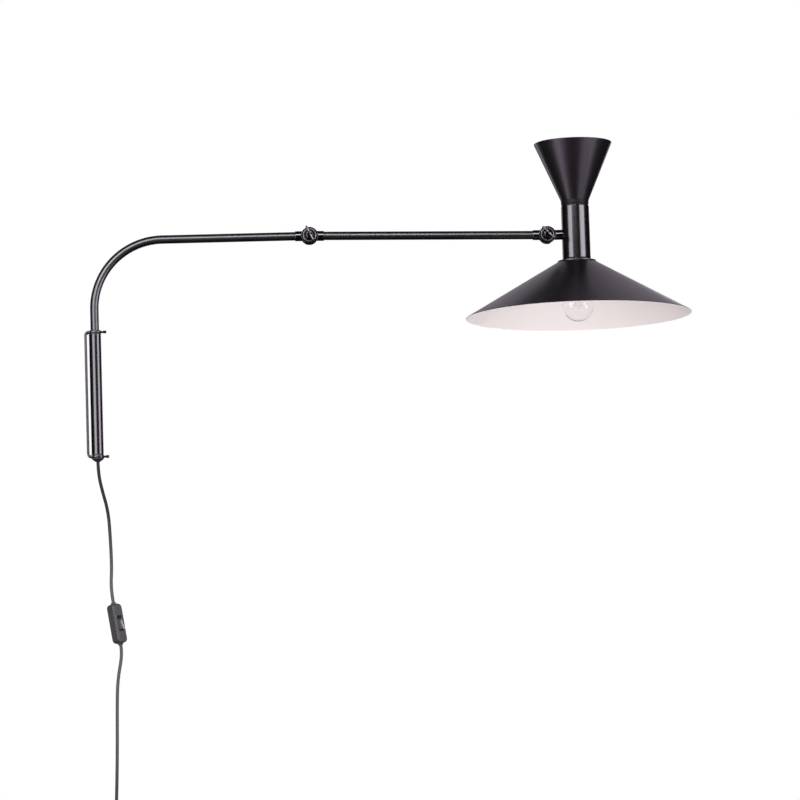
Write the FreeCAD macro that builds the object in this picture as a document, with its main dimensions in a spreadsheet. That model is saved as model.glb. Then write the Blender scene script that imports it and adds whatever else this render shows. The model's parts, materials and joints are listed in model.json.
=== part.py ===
import FreeCAD
import Part
import Sketcher
import math
import os
from FreeCAD import Placement, Rotation, Vector

# Swing arm wall lamp: a strip bracket on the wall, a bent arm that swivels in the bracket,
# a forearm, and a head with a wide shade below and a small open cone above.
# Origin: centre of the bracket's back face. +X out of the wall, +Y along the wall, +Z up.

# Driving sizes in millimetres and degrees
SIZES = {
    "slip_gap": 0.05,
    "running_gap": 0.05,
    "turn_gap": 0.4,
    "edge_chamfer": 0.8,
    "cut_margin": 6.0,
    "strip_width": 14.0,
    "strip_thickness": 3.4,
    "strip_bend": 3.0,
    "bracket_height": 180.0,
    "eye_diameter": 20.0,
    "ear_screw_diameter": 2.4,
    "ear_screw_neck": 2.8,
    "ear_screw_head": 3.4,
    "ear_screw_head_diameter": 4.0,
    "wall_hole_diameter": 4.8,
    "wall_hole_spacing": 124.0,
    "swivel_offset": 15.0,
    "sleeve_diameter": 17.0,
    "sleeve_wall": 1.5,
    "bush_flange": 1.5,
    "bush_depth": 14.0,
    "bush_lip": 1.2,
    "gland_height": 5.4,
    "gland_rim": 1.2,
    "gland_thread": 2.4,
    "gland_nose": 1.2,
    "tube_diameter": 12.0,
    "tube_wall": 1.0,
    "arm_height": 218.0,
    "arm_reach": 306.5,
    "arm_bend": 98.0,
    "forearm_length": 337.5,
    "elbow_droop": 1.2,
    "knuckle_diameter": 24.0,
    "knuckle_thickness": 7.2,
    "friction_washer_thickness": 0.8,
    "friction_washer_diameter": 21.0,
    "collar_diameter": 14.2,
    "collar_reach": 20.5,
    "tube_seat": 7.5,
    "pivot_screw_diameter": 6.0,
    "cup_washer_diameter": 19.0,
    "cup_washer_thickness": 1.8,
    "wing_hub_diameter": 9.6,
    "wing_hub_length": 9.0,
    "wing_span": 24.0,
    "wing_height": 14.0,
    "wing_thickness": 2.2,
    "wing_root": 7.0,
    "wing_corner": 3.0,
    "wing_dip": 1.6,
    "elbow_wing_angle": 116.0,
    "head_wing_angle": 134.0,
    "neck_offset": 41.0,
    "neck_diameter": 40.0,
    "neck_wall": 1.5,
    "neck_below": 38.0,
    "neck_above": 40.0,
    "spigot_diameter": 10.0,
    "hub_height": 18.0,
    "nipple_diameter": 10.0,
    "nipple_wall": 1.4,
    "nipple_seat": 6.0,
    "holder_diameter": 28.0,
    "holder_length": 44.0,
    "holder_cap_diameter": 20.0,
    "holder_cap_height": 9.0,
    "holder_mouth": 66.0,
    "holder_socket": 24.0,
    "shade_ring_diameter": 36.0,
    "shade_ring_flange": 2.0,
    "shade_ring_height": 8.0,
    "shade_ring_wall": 2.0,
    "sheet": 1.2,
    "shade_flat_diameter": 54.6,
    "shade_step": 1.6,
    "shade_rim_diameter": 320.0,
    "shade_depth": 78.2,
    "spacer_height": 3.0,
    "spacer_diameter": 38.2,
    "cone_base_diameter": 39.4,
    "cone_collar_height": 5.0,
    "cone_rim_diameter": 111.0,
    "cone_height": 82.5,
    "globe_diameter": 45.0,
    "globe_centre": 102.0,
    "glass_wall": 0.8,
    "bulb_neck_diameter": 19.0,
    "bulb_cap_diameter": 13.8,
    "bulb_cap_length": 22.0,
    "bulb_contact_diameter": 5.0,
    "bulb_skirt": 5.0,
    "stem_diameter": 6.0,
    "stem_length": 22.0,
    "filament_diameter": 1.6,
    "filament_length": 17.0,
    "filament_circle": 7.0,
    "cord_diameter": 4.6,
    "switch_length": 55.4,
    "switch_width": 18.0,
    "switch_depth": 14.0,
    "switch_corner": 5.5,
    "switch_edge": 1.6,
    "switch_nub_length": 2.6,
    "switch_nub_diameter": 9.0,
    "switch_tilt": 8.6,
    "switch_twist": 45.0,
    "rocker_length": 19.0,
    "rocker_width": 8.0,
    "rocker_rise": 1.35,
    "rocker_throw": 8.0,
    "rocker_depth": 4.4,
    "rocker_pivot_depth": 2.5,
    "rocker_pin_diameter": 2.0,
    "rocker_gap": 0.35,
    "switch_screw_diameter": 3.0,
    "switch_screw_head": 5.0,
    "switch_screw_spacing": 40.0,
    "coil_turns": 7.0,
    "coil_inner_radius": 18.6,
    "coil_pitch": 5.1,
    "coil_layer_pitch": 5.1,
    "coil_tail": 12.0,
    "tie_wall": 1.2,
    "tie_width": 7.0,
    "tie_gap": 0.3,
    "tie_corner": 3.0,
    "plug_sleeve_length": 16.0,
    "plug_sleeve_diameter": 10.0,
    "plug_length": 34.0,
    "plug_width": 35.0,
    "plug_depth": 13.6,
    "plug_shoulder": 14.0,
    "plug_edge": 2.0,
    "plug_pin_diameter": 4.0,
    "plug_pin_length": 19.0,
    "plug_pin_spacing": 19.0,
}

# Free cord from the lower bush to the switch and from the switch to the coil, points chosen by hand
CORD_UPPER = [
    (15.0, 0.0, -87.0),
    (15.0, 0.0, -110.0),
    (19.5, 0.0, -134.0),
    (28.0, 0.0, -166.0),
    (30.0, 0.0, -205.0),
    (31.0, 0.0, -245.0),
    (28.9, 0.0, -274.1),
    (31.9, 0.0, -293.95),
]
CORD_LOWER = [
    (41.0, 0.0, -353.95),
    (42.9, 0.0, -366.4),
    (35.6, 0.0, -402.0),
    (34.0, 0.0, -437.0),
    (33.0, 0.0, -487.0),
    (31.5, 4.0, -533.0),
    (29.4, 22.0, -570.0),
    (28.45, 36.45, -594.0),
    (28.45, 36.45, -616.5),
]
ARC_SHARE = 0.45


class Size:
    """A size on the sheet: its value now and the formula that a feature is bound to."""

    def __init__(self, value, formula):
        self.value = value
        self.formula = formula

    def __add__(self, other):
        other = as_size(other)
        return Size(self.value + other.value, f"({self.formula} + {other.formula})")

    def __sub__(self, other):
        other = as_size(other)
        return Size(self.value - other.value, f"({self.formula} - {other.formula})")

    def __mul__(self, other):
        other = as_size(other)
        return Size(self.value * other.value, f"({self.formula} * {other.formula})")

    def __truediv__(self, other):
        other = as_size(other)
        return Size(self.value / other.value, f"({self.formula} / {other.formula})")

    def __neg__(self):
        return Size(-self.value, f"(-1 * {self.formula})")

    def root(self):
        return Size(math.sqrt(self.value), f"sqrt({self.formula})")


def as_size(number):
    if isinstance(number, Size):
        return number
    return Size(float(number), f"({float(number)!r})")


doc = FreeCAD.newDocument("swing_arm_wall_lamp")
sheet = doc.addObject("Spreadsheet::Sheet", "Sizes")
for row, (alias, number) in enumerate(SIZES.items(), start=1):
    sheet.set(f"A{row}", alias)
    sheet.set(f"B{row}", str(number))
    sheet.setAlias(f"B{row}", alias)
doc.recompute()

ZERO = as_size(0)
PARTS = []


def size(alias):
    return Size(SIZES[alias], f"Sizes.{alias}")


def keep(piece, label):
    """Name a finished piece and list it for export."""
    piece.Label = label
    PARTS.append(piece)
    return piece


def at(x=0.0, y=0.0, z=0.0, rotation=Rotation()):
    return Placement(Vector(*(as_size(v).value for v in (x, y, z))), rotation)


X_AXIS = Vector(1, 0, 0)
Y_AXIS = Vector(0, 1, 0)
Z_AXIS = Vector(0, 0, 1)
TO_REAR = Rotation(X_AXIS, -90)
TO_FRONT = Rotation(X_AXIS, 90)
TO_RIGHT = Rotation(Y_AXIS, 90)
TO_LEFT = Rotation(Y_AXIS, -90)


# Sketches and features

def arc_centre(first, last, axis, fixed):
    """Centre at equal distance from both ends, with one of its coordinates given."""
    if axis == "across":
        rise = (last.y ** 2 - first.y ** 2) + (fixed - last.x) ** 2 - (fixed - first.x) ** 2
        return Vector(fixed, rise / (2 * (last.y - first.y)), 0)
    run = (last.x ** 2 - first.x ** 2) + (fixed - last.y) ** 2 - (fixed - first.y) ** 2
    return Vector(run / (2 * (last.x - first.x)), fixed, 0)


def outline(body, plane, points, arcs=None):
    """Closed outline through points, each bound to the sheet.

    arcs maps a side's number to (axis, coordinate, turn): the centre's one given coordinate,
    and +1 where the side turns to the left as it runs or -1 to the right.
    """
    arcs = arcs or {}
    sketch = body.newObject("Sketcher::SketchObject", "Outline")
    planes = {feature.Role: feature for feature in body.Origin.OriginFeatures}
    sketch.AttachmentSupport = [(planes[plane], "")]
    sketch.MapMode = "FlatFace"
    points = [(as_size(across), as_size(up)) for across, up in points]
    corners = [Vector(across.value, up.value, 0) for across, up in points]
    count = len(corners)
    sides = []
    start_end = []
    for index, first in enumerate(corners):
        last = corners[(index + 1) % count]
        if index not in arcs:
            sides.append(Part.LineSegment(first, last))
            start_end.append((1, 2))
            continue
        axis, fixed, turn = arcs[index]
        centre = arc_centre(first, last, axis, as_size(fixed).value)
        circle = Part.Circle(centre, Z_AXIS, (first - centre).Length)
        low, high = (first, last) if turn > 0 else (last, first)
        sides.append(Part.ArcOfCircle(circle, circle.parameter(low), circle.parameter(high)))
        start_end.append((1, 2) if turn > 0 else (2, 1))
    sketch.addGeometry(sides, False)
    for index in range(count):
        after = (index + 1) % count
        end, start = start_end[index][1], start_end[after][0]
        sketch.addConstraint(Sketcher.Constraint("Coincident", index, end, after, start))
    for index, (across, up) in enumerate(points):
        bind_point(sketch, index, start_end[index][0], "DistanceX", across, f"across{index}")
        bind_point(sketch, index, start_end[index][0], "DistanceY", up, f"up{index}")
    for index, (axis, fixed, turn) in arcs.items():
        kind = "DistanceX" if axis == "across" else "DistanceY"
        bind_point(sketch, index, 3, kind, as_size(fixed), f"centre{index}")
    return sketch


def bind_point(sketch, side, end, kind, distance, name):
    """Hold one coordinate of a point on an axis, or at a distance bound to the sheet."""
    if distance is ZERO:
        axis = -2 if kind == "DistanceX" else -1
        sketch.addConstraint(Sketcher.Constraint("PointOnObject", side, end, axis))
        return
    number = sketch.addConstraint(Sketcher.Constraint(kind, -1, 1, side, end, distance.value))
    sketch.renameConstraint(number, name)
    sketch.setExpression(f"Constraints.{name}", distance.formula)


def circles(body, plane, centres, radius):
    """Sketch of equal circles at bound centres."""
    sketch = body.newObject("Sketcher::SketchObject", "Circles")
    planes = {feature.Role: feature for feature in body.Origin.OriginFeatures}
    sketch.AttachmentSupport = [(planes[plane], "")]
    sketch.MapMode = "FlatFace"
    for index, (across, up) in enumerate(centres):
        across, up = as_size(across), as_size(up)
        sketch.addGeometry(Part.Circle(Vector(across.value, up.value, 0), Z_AXIS, radius.value), False)
        bind_point(sketch, index, 3, "DistanceX", across, f"across{index}")
        bind_point(sketch, index, 3, "DistanceY", up, f"up{index}")
        number = sketch.addConstraint(Sketcher.Constraint("Radius", index, radius.value))
        sketch.renameConstraint(number, f"radius{index}")
        sketch.setExpression(f"Constraints.radius{index}", radius.formula)
    return sketch


def new_body(place):
    body = doc.addObject("PartDesign::Body", "Body")
    body.Placement = place
    return body


def revolve(points, place=Placement(), arcs=None):
    """Body turned about its own Z axis from (radius, height) points."""
    body = new_body(place)
    sketch = outline(body, "XZ_Plane", points, arcs)
    turned = body.newObject("PartDesign::Revolution", "Turned")
    turned.Profile = sketch
    turned.ReferenceAxis = (sketch, ["V_Axis"])
    turned.Angle = 360
    return body


def prism(plane, points, thickness, place=Placement(), arcs=None, middle=True, reverse=False):
    """Body padded from an outline, about its plane or to one side of it."""
    body = new_body(place)
    pad = body.newObject("PartDesign::Pad", "Padded")
    pad.Profile = outline(body, plane, points, arcs)
    pad.setExpression("Length", thickness.formula)
    pad.Midplane = middle
    pad.Reversed = reverse
    return body


def pocket_through(body, sketch):
    """Cut a sketch through the whole body, both ways from its plane."""
    pocket = body.newObject("PartDesign::Pocket", "Cutout")
    pocket.Profile = sketch
    pocket.Type = "ThroughAll"
    pocket.Midplane = True


def rod(radius, length, place=Placement()):
    cylinder = doc.addObject("Part::Cylinder", "Rod")
    cylinder.setExpression("Radius", radius.formula)
    cylinder.setExpression("Height", length.formula)
    cylinder.Placement = place
    return cylinder


def block(length, width, height, place):
    box = doc.addObject("Part::Box", "Block")
    box.setExpression("Length", length.formula)
    box.setExpression("Width", width.formula)
    box.setExpression("Height", height.formula)
    box.Placement = place
    return box


def fuse(pieces, place=Placement()):
    joined = doc.addObject("Part::MultiFuse", "Joined")
    joined.Shapes = pieces
    joined.Refine = True
    joined.Placement = place
    return joined


def cut(base, tools, place=Placement()):
    result = doc.addObject("Part::Cut", "Cut")
    result.Base = base
    result.Tool = tools[0] if len(tools) == 1 else fuse(tools)
    result.Refine = True
    result.Placement = place
    return result


def round_edges(base, radius, chosen):
    """Fillet the edges that chosen(edge) picks."""
    doc.recompute()
    fillet = doc.addObject("Part::Fillet", "Rounded")
    fillet.Base = base
    numbers = [n for n, edge in enumerate(base.Shape.Edges, start=1) if chosen(edge)]
    fillet.Edges = [(number, radius.value, radius.value) for number in numbers]
    return fillet


def ring(inner, outer, low, high, place=Placement()):
    return revolve([(inner, low), (outer, low), (outer, high), (inner, high)], place)


# Sizes that several pieces share

slip = size("slip_gap")
running = size("running_gap")
chamfer = size("edge_chamfer")
margin = size("cut_margin")
half_height = size("bracket_height") / 2
strip = size("strip_thickness")
ear_face = half_height - strip
ear_middle = half_height - strip / 2
sleeve_radius = size("sleeve_diameter") / 2
bush_radius = sleeve_radius - size("sleeve_wall") - slip
tube_radius = size("tube_diameter") / 2
tube_bore = tube_radius - size("tube_wall")
tube_stop = size("collar_reach") - size("tube_seat")
cord_radius = size("cord_diameter") / 2
screw_radius = size("pivot_screw_diameter") / 2
screw_hole = screw_radius + running
half_washer = size("friction_washer_thickness") / 2
knuckle_radius = size("knuckle_diameter") / 2
knuckle_face = half_washer + size("knuckle_thickness")
cup_face = knuckle_face + size("cup_washer_thickness")
neck_radius = size("neck_diameter") / 2
nipple_radius = size("nipple_diameter") / 2
spigot_radius = size("spigot_diameter") / 2
holder_radius = size("holder_diameter") / 2
sheet_metal = size("sheet")

# Frames at rest: the swivel axis, both pivots and the neck's axis

SWIVEL = at(x=size("swivel_offset"))
ELBOW = at(x=size("swivel_offset") + size("arm_reach"), z=size("arm_height"))
FOREARM = ELBOW.multiply(at(rotation=Rotation(Y_AXIS, SIZES["elbow_droop"])))
HEAD_POINT = FOREARM.multVec(Vector(SIZES["forearm_length"], 0, 0))
FOREARM_END = Placement(HEAD_POINT, FOREARM.Rotation)
HEAD_PIVOT = Placement(HEAD_POINT, Rotation())
NECK = HEAD_PIVOT.multiply(at(x=size("neck_offset")))


# Wall bracket and its swivel

def wall_bracket():
    """A strip bent into two ears that end in round eyes, with holes for the swivel and the wall screws."""
    axis = size("swivel_offset")
    bend = size("strip_bend") + strip
    bend_high = half_height - bend
    points = [
        (bend, -half_height), (axis, -half_height), (axis, -ear_face), (bend, -ear_face),
        (strip, -bend_high), (strip, bend_high), (bend, ear_face), (axis, ear_face),
        (axis, half_height), (bend, half_height), (ZERO, bend_high), (ZERO, -bend_high),
    ]
    bends = {
        3: ("up", -bend_high, -1), 5: ("up", bend_high, -1),
        9: ("up", bend_high, 1), 11: ("up", -bend_high, 1),
    }
    bar = prism("XZ_Plane", points, size("strip_width"), arcs=bends)
    hole = size("wall_hole_spacing") / 2
    pocket_through(bar, circles(bar, "YZ_Plane", [(ZERO, hole), (ZERO, -hole)], size("wall_hole_diameter") / 2))
    eye = size("eye_diameter") / 2
    bore = bush_radius + slip
    eyes = [ring(bore, eye, ear_face, half_height, SWIVEL), ring(bore, eye, -half_height, -ear_face, SWIVEL)]
    tools = [rod(bore, half_height * 2 + margin, at(x=axis, z=-half_height - margin / 2))]
    tap = size("ear_screw_diameter") / 2 + slip
    for level in (ear_middle, -ear_middle):
        tools.append(rod(tap, eye + margin, at(x=axis, z=level, rotation=TO_RIGHT)))
    keep(cut(fuse([bar] + eyes), tools), "wall_bracket")


def ear_screw(level, label):
    """Small round-headed screw in the edge of an eye, that holds the bush in it."""
    start = bush_radius + size("turn_gap")
    neck_end = size("eye_diameter") / 2 + size("ear_screw_neck")
    end = neck_end + size("ear_screw_head")
    shank = size("ear_screw_diameter") / 2
    head = size("ear_screw_head_diameter") / 2
    points = [
        (ZERO, start), (shank, start), (shank, neck_end), (head, neck_end),
        (head, end - chamfer), (head - chamfer, end), (ZERO, end),
    ]
    keep(revolve(points, SWIVEL.multiply(at(z=level, rotation=TO_RIGHT))), label)


def swivel():
    """Sleeve between the ears, on two flanged bushes that carry the arm's tube, and the cord's gland."""
    flange = ear_face - size("bush_flange")
    keep(ring(bush_radius + slip, sleeve_radius, -flange, flange, SWIVEL), "swivel_sleeve")
    bore = tube_radius + running
    inside = flange - size("bush_depth")
    lip = half_height + size("bush_lip")
    small = chamfer / 2
    upper = [
        (bore, inside), (bush_radius, inside), (bush_radius, flange), (sleeve_radius, flange),
        (sleeve_radius, ear_face), (bush_radius, ear_face), (bush_radius, lip - small),
        (bush_radius - small, lip), (bore, lip),
    ]
    keep(revolve(upper, SWIVEL), "upper_swivel_bush")
    thread = half_height + size("gland_thread")
    passage = cord_radius + slip
    lower = [
        (bore, -inside), (bush_radius, -inside), (bush_radius, -flange), (sleeve_radius, -flange),
        (sleeve_radius, -ear_face), (bush_radius, -ear_face), (bush_radius, -thread),
        (passage, -thread), (passage, -ear_face), (bore, -ear_face),
    ]
    keep(revolve(lower, SWIVEL), "lower_swivel_bush")
    tip = half_height + size("gland_height")
    shoulder = half_height + size("gland_rim")
    gland = [
        (passage, -tip), (passage + size("gland_nose"), -tip), (sleeve_radius, -shoulder),
        (sleeve_radius, -half_height), (bush_radius + slip, -half_height),
        (bush_radius + slip, -thread), (passage, -thread),
    ]
    keep(revolve(gland, SWIVEL), "cord_gland")


# Arms

def bent_pipe(outer, inner, shift, stop):
    """Pipe up the swivel axis, round the bend and out to the elbow, shifted towards the bend's centre."""
    body = new_body(Placement())
    planes = {feature.Role: feature for feature in body.Origin.OriginFeatures}
    path = body.newObject("Sketcher::SketchObject", "Path")
    path.AttachmentSupport = [(planes["XZ_Plane"], "")]
    path.MapMode = "FlatFace"
    across = size("swivel_offset") + shift
    level = size("arm_height") - shift
    bend_across = size("swivel_offset") + size("arm_bend")
    bend_up = size("arm_height") - size("arm_bend")
    end = size("swivel_offset") + size("arm_reach") - stop
    corners = [(across, -ear_face), (across, bend_up), (bend_across, level), (end, level)]
    points = [Vector(a.value, u.value, 0) for a, u in corners]
    centre = Vector(bend_across.value, bend_up.value, 0)
    circle = Part.Circle(centre, Z_AXIS, (points[1] - centre).Length)
    arc = Part.ArcOfCircle(circle, circle.parameter(points[2]), circle.parameter(points[1]))
    path.addGeometry([Part.LineSegment(points[0], points[1]), arc, Part.LineSegment(points[2], points[3])], False)
    path.addConstraint(Sketcher.Constraint("Coincident", 0, 2, 1, 2))
    path.addConstraint(Sketcher.Constraint("Coincident", 1, 1, 2, 1))
    for side, place, corner in ((0, 1, 0), (0, 2, 1), (2, 1, 2), (2, 2, 3)):
        bind_point(path, side, place, "DistanceX", corners[corner][0], f"across{corner}")
        bind_point(path, side, place, "DistanceY", corners[corner][1], f"up{corner}")
    bind_point(path, 1, 3, "DistanceX", bend_across, "centre")
    section = body.newObject("Sketcher::SketchObject", "Section")
    section.AttachmentSupport = [(planes["XY_Plane"], "")]
    section.MapMode = "FlatFace"
    section.setExpression("AttachmentOffset.Base.z", (-ear_face).formula)
    for index, radius in enumerate(r for r in (outer, inner) if r is not None):
        section.addGeometry(Part.Circle(Vector(across.value, 0, 0), Z_AXIS, radius.value), False)
        bind_point(section, index, 3, "DistanceX", across, f"across{index}")
        bind_point(section, index, 3, "DistanceY", ZERO, f"up{index}")
        number = section.addConstraint(Sketcher.Constraint("Radius", index, radius.value))
        section.renameConstraint(number, f"radius{index}")
        section.setExpression(f"Constraints.radius{index}", radius.formula)
    doc.recompute()
    pipe = body.newObject("PartDesign::AdditivePipe", "Pipe")
    pipe.Profile = section
    pipe.Spine = (path, ["Edge1", "Edge2", "Edge3"])
    return body


def knuckle(frame, side, way, far_end, socket):
    """Half of a pivot: a disc on one side of the arm's middle plane with a round collar.

    side is +1 for the rear half and -1 for the front half, way is +1 where the collar points to +X.
    """
    disc_turn, other_turn = (TO_REAR, TO_FRONT) if side > 0 else (TO_FRONT, TO_REAR)
    collar_turn = TO_RIGHT if way > 0 else TO_LEFT
    disc = revolve([
        (screw_hole, half_washer), (knuckle_radius, half_washer), (knuckle_radius, knuckle_face - chamfer),
        (knuckle_radius - chamfer, knuckle_face), (screw_hole, knuckle_face),
    ], at(rotation=disc_turn))
    collar_radius = size("collar_diameter") / 2
    collar = revolve([
        (ZERO, ZERO), (collar_radius, ZERO), (collar_radius, far_end - chamfer),
        (collar_radius - chamfer, far_end), (ZERO, far_end),
    ], at(rotation=collar_turn))
    other_half = rod(knuckle_radius + size("turn_gap"), knuckle_face + margin,
                     at(y=half_washer * side, rotation=other_turn))
    whole = fuse([disc, cut(collar, [other_half])])
    tools = [rod(screw_hole, knuckle_face * 2, at(y=-knuckle_face, rotation=TO_REAR))]
    if socket:
        start = (far_end - size("tube_seat")) * way
        tools.append(rod(tube_radius + slip, size("tube_seat") + margin, at(x=start, rotation=collar_turn)))
    return cut(whole, tools, frame)


def swing_arm():
    keep(bent_pipe(tube_radius, tube_bore, ZERO, tube_stop), "curved_arm_tube")
    cable_shift = tube_bore - cord_radius - running * 4
    keep(bent_pipe(cord_radius, None, cable_shift, tube_stop), "arm_cable")
    keep(knuckle(ELBOW, 1, -1, size("collar_reach"), True), "elbow_rear_knuckle")


def forearm():
    keep(knuckle(FOREARM, -1, 1, size("collar_reach"), True), "elbow_front_knuckle")
    length = size("forearm_length") - tube_stop * 2
    along = FOREARM.multiply(at(x=tube_stop, rotation=TO_RIGHT))
    keep(ring(tube_bore, tube_radius, ZERO, length, along), "forearm_tube")
    drop = tube_bore - cord_radius - running * 4
    cable = FOREARM.multiply(at(x=tube_stop, z=-drop, rotation=TO_RIGHT))
    keep(revolve([(ZERO, ZERO), (cord_radius, ZERO), (cord_radius, length), (ZERO, length)], cable), "forearm_cable")
    keep(knuckle(FOREARM_END, 1, -1, size("collar_reach"), True), "head_rear_knuckle")


def pivot_washers(frame, joint):
    """Fibre washer between the halves of a pivot and the cup washer under its wing screw."""
    fibre = size("friction_washer_diameter") / 2
    keep(ring(screw_hole, fibre, -half_washer, half_washer, frame.multiply(at(rotation=TO_FRONT))),
         f"{joint}_friction_washer")
    cup = size("cup_washer_diameter") / 2
    points = [
        (screw_hole, knuckle_face), (cup, knuckle_face), (cup, cup_face - chamfer),
        (cup - chamfer, cup_face), (screw_hole, cup_face),
    ]
    keep(revolve(points, frame.multiply(at(rotation=TO_FRONT))), f"{joint}_cup_washer")


def wing_screw(frame, angle, label):
    """Pivot screw with a two-lobed blade for the fingers, screwed into the rear half."""
    hub = size("wing_hub_diameter") / 2
    hub_top = cup_face + size("wing_hub_length")
    shank = revolve([
        (ZERO, -knuckle_face), (screw_radius - chamfer, -knuckle_face), (screw_radius, chamfer - knuckle_face),
        (screw_radius, cup_face), (hub, cup_face), (hub, hub_top - chamfer), (hub - chamfer, hub_top), (ZERO, hub_top),
    ], at(rotation=TO_FRONT))
    half_span = size("wing_span") / 2
    root = size("wing_root") / 2
    corner = size("wing_corner")
    foot = hub_top - chamfer * 2
    top = foot + size("wing_height")
    waist = foot + size("wing_height") / 2
    lobe = half_span - corner
    blade_points = [
        (-root, foot), (root, foot), (half_span, waist), (half_span, top - corner), (lobe, top),
        (corner, top), (ZERO, top - size("wing_dip")), (-corner, top), (-lobe, top),
        (-half_span, top - corner), (-half_span, waist),
    ]
    corners = {3: ("across", lobe, 1), 8: ("across", -lobe, 1)}
    turn = Rotation(Y_AXIS, -angle).multiply(TO_FRONT)
    blade = prism("XZ_Plane", blade_points, size("wing_thickness"), at(rotation=turn), corners)
    keep(fuse([shank, blade], frame), label)


# Lamp head

def head_knuckle():
    """Front half of the head pivot, whose stub is saddled to the neck and screwed into the hub."""
    offset = size("neck_offset")
    half = knuckle(Placement(), -1, 1, offset, False)
    saddle = rod(neck_radius + slip, size("collar_diameter") * 2, at(x=offset, z=-size("collar_diameter")))
    spigot_start = offset - neck_radius - chamfer
    spigot_end = offset - nipple_radius - chamfer * 2
    spigot = rod(spigot_radius, spigot_end - spigot_start, at(x=spigot_start, rotation=TO_RIGHT))
    keep(fuse([cut(half, [saddle]), spigot], HEAD_PIVOT), "head_front_knuckle")


def neck():
    """Neck tube, the hub inside it that the stub screws into, and the nipples that carry the lampholders."""
    bore = neck_radius - size("neck_wall")
    tube = ring(bore, neck_radius, -size("neck_below"), size("neck_above"))
    stub_hole = rod(spigot_radius + slip, neck_radius + margin, at(rotation=TO_LEFT))
    keep(cut(tube, [stub_hole], NECK), "neck_tube")
    half_hub = size("hub_height") / 2
    hub = ring(nipple_radius + slip, bore - slip, -half_hub, half_hub)
    spigot_hole = rod(spigot_radius + slip, neck_radius + margin, at(rotation=TO_LEFT))
    keep(cut(hub, [spigot_hole], NECK), "neck_hub")
    seat = size("nipple_seat")
    holder_back = size("holder_mouth") - size("holder_length")
    for way, place in ((-1, "lower"), (1, "upper")):
        near = (half_hub - seat) * way
        far = (holder_back + seat) * way
        keep(ring(nipple_radius - size("nipple_wall"), nipple_radius, near, far, NECK), f"{place}_nipple")


def lampholder(way, place):
    """Round holder with a narrow cap on the nipple, and the threaded ring that clamps the shade."""
    mouth = size("holder_mouth")
    back = mouth - size("holder_length")
    cap = size("holder_cap_diameter") / 2
    socket = size("bulb_cap_diameter") / 2 + slip
    floor = mouth - size("holder_socket")
    hole = nipple_radius + slip
    profile = [
        (hole, back), (cap, back), (holder_radius, back + size("holder_cap_height")),
        (holder_radius, mouth - chamfer), (holder_radius - chamfer, mouth), (socket, mouth),
        (socket, floor), (hole, floor),
    ]
    keep(revolve([(r, z * way) for r, z in profile], NECK), f"{place}_lampholder")
    seat = size("neck_below") + sheet_metal
    if way > 0:
        seat = size("neck_above") + size("spacer_height") + sheet_metal
    inner = holder_radius + slip
    wall = inner + size("shade_ring_wall")
    flange = seat + size("shade_ring_flange")
    top = seat + size("shade_ring_height")
    profile = [
        (inner, seat), (size("shade_ring_diameter") / 2, seat), (size("shade_ring_diameter") / 2, flange),
        (wall, flange), (wall, top), (inner, top),
    ]
    keep(revolve([(r, z * way) for r, z in profile], NECK), f"{place}_shade_ring")


def lower_shade():
    """Wide spun shade: a raised flat top clamped under the neck and a straight flared skirt."""
    hole = holder_radius + slip
    flat = size("shade_flat_diameter") / 2
    rim = size("shade_rim_diameter") / 2
    top = -size("neck_below")
    bottom = top - size("shade_depth")
    ledge = top - size("shade_step")
    flare = rim - flat
    fall = size("shade_depth") - size("shade_step")
    slant = (flare * flare + fall * fall).root()
    inner_rim = rim - sheet_metal * slant / fall
    inner_ledge = ledge - sheet_metal * (slant - fall) / flare
    keep(revolve([
        (hole, top), (flat, top), (flat, ledge), (rim, bottom), (inner_rim, bottom),
        (flat - sheet_metal, inner_ledge), (flat - sheet_metal, top - sheet_metal), (hole, top - sheet_metal),
    ], NECK), "lower_shade")


def upper_cone():
    """Small open cone on a short straight collar, on a spacer ring that leaves a fine groove."""
    hole = holder_radius + slip
    base = size("cone_base_diameter") / 2
    rim = size("cone_rim_diameter") / 2
    seat = size("neck_above") + size("spacer_height")
    waist = seat + size("cone_collar_height")
    top = waist + size("cone_height")
    flare = rim - base
    slant = (flare * flare + size("cone_height") * size("cone_height")).root()
    inner_rim = rim - sheet_metal * slant / size("cone_height")
    inner_waist = waist + sheet_metal * (slant - size("cone_height")) / flare
    keep(revolve([
        (hole, seat), (base, seat), (base, waist), (rim, top), (inner_rim, top),
        (base - sheet_metal, inner_waist), (base - sheet_metal, seat + sheet_metal), (hole, seat + sheet_metal),
    ], NECK), "upper_cone")
    keep(ring(hole, size("spacer_diameter") / 2, size("neck_above"), seat, NECK), "cone_spacer_ring")


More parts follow.
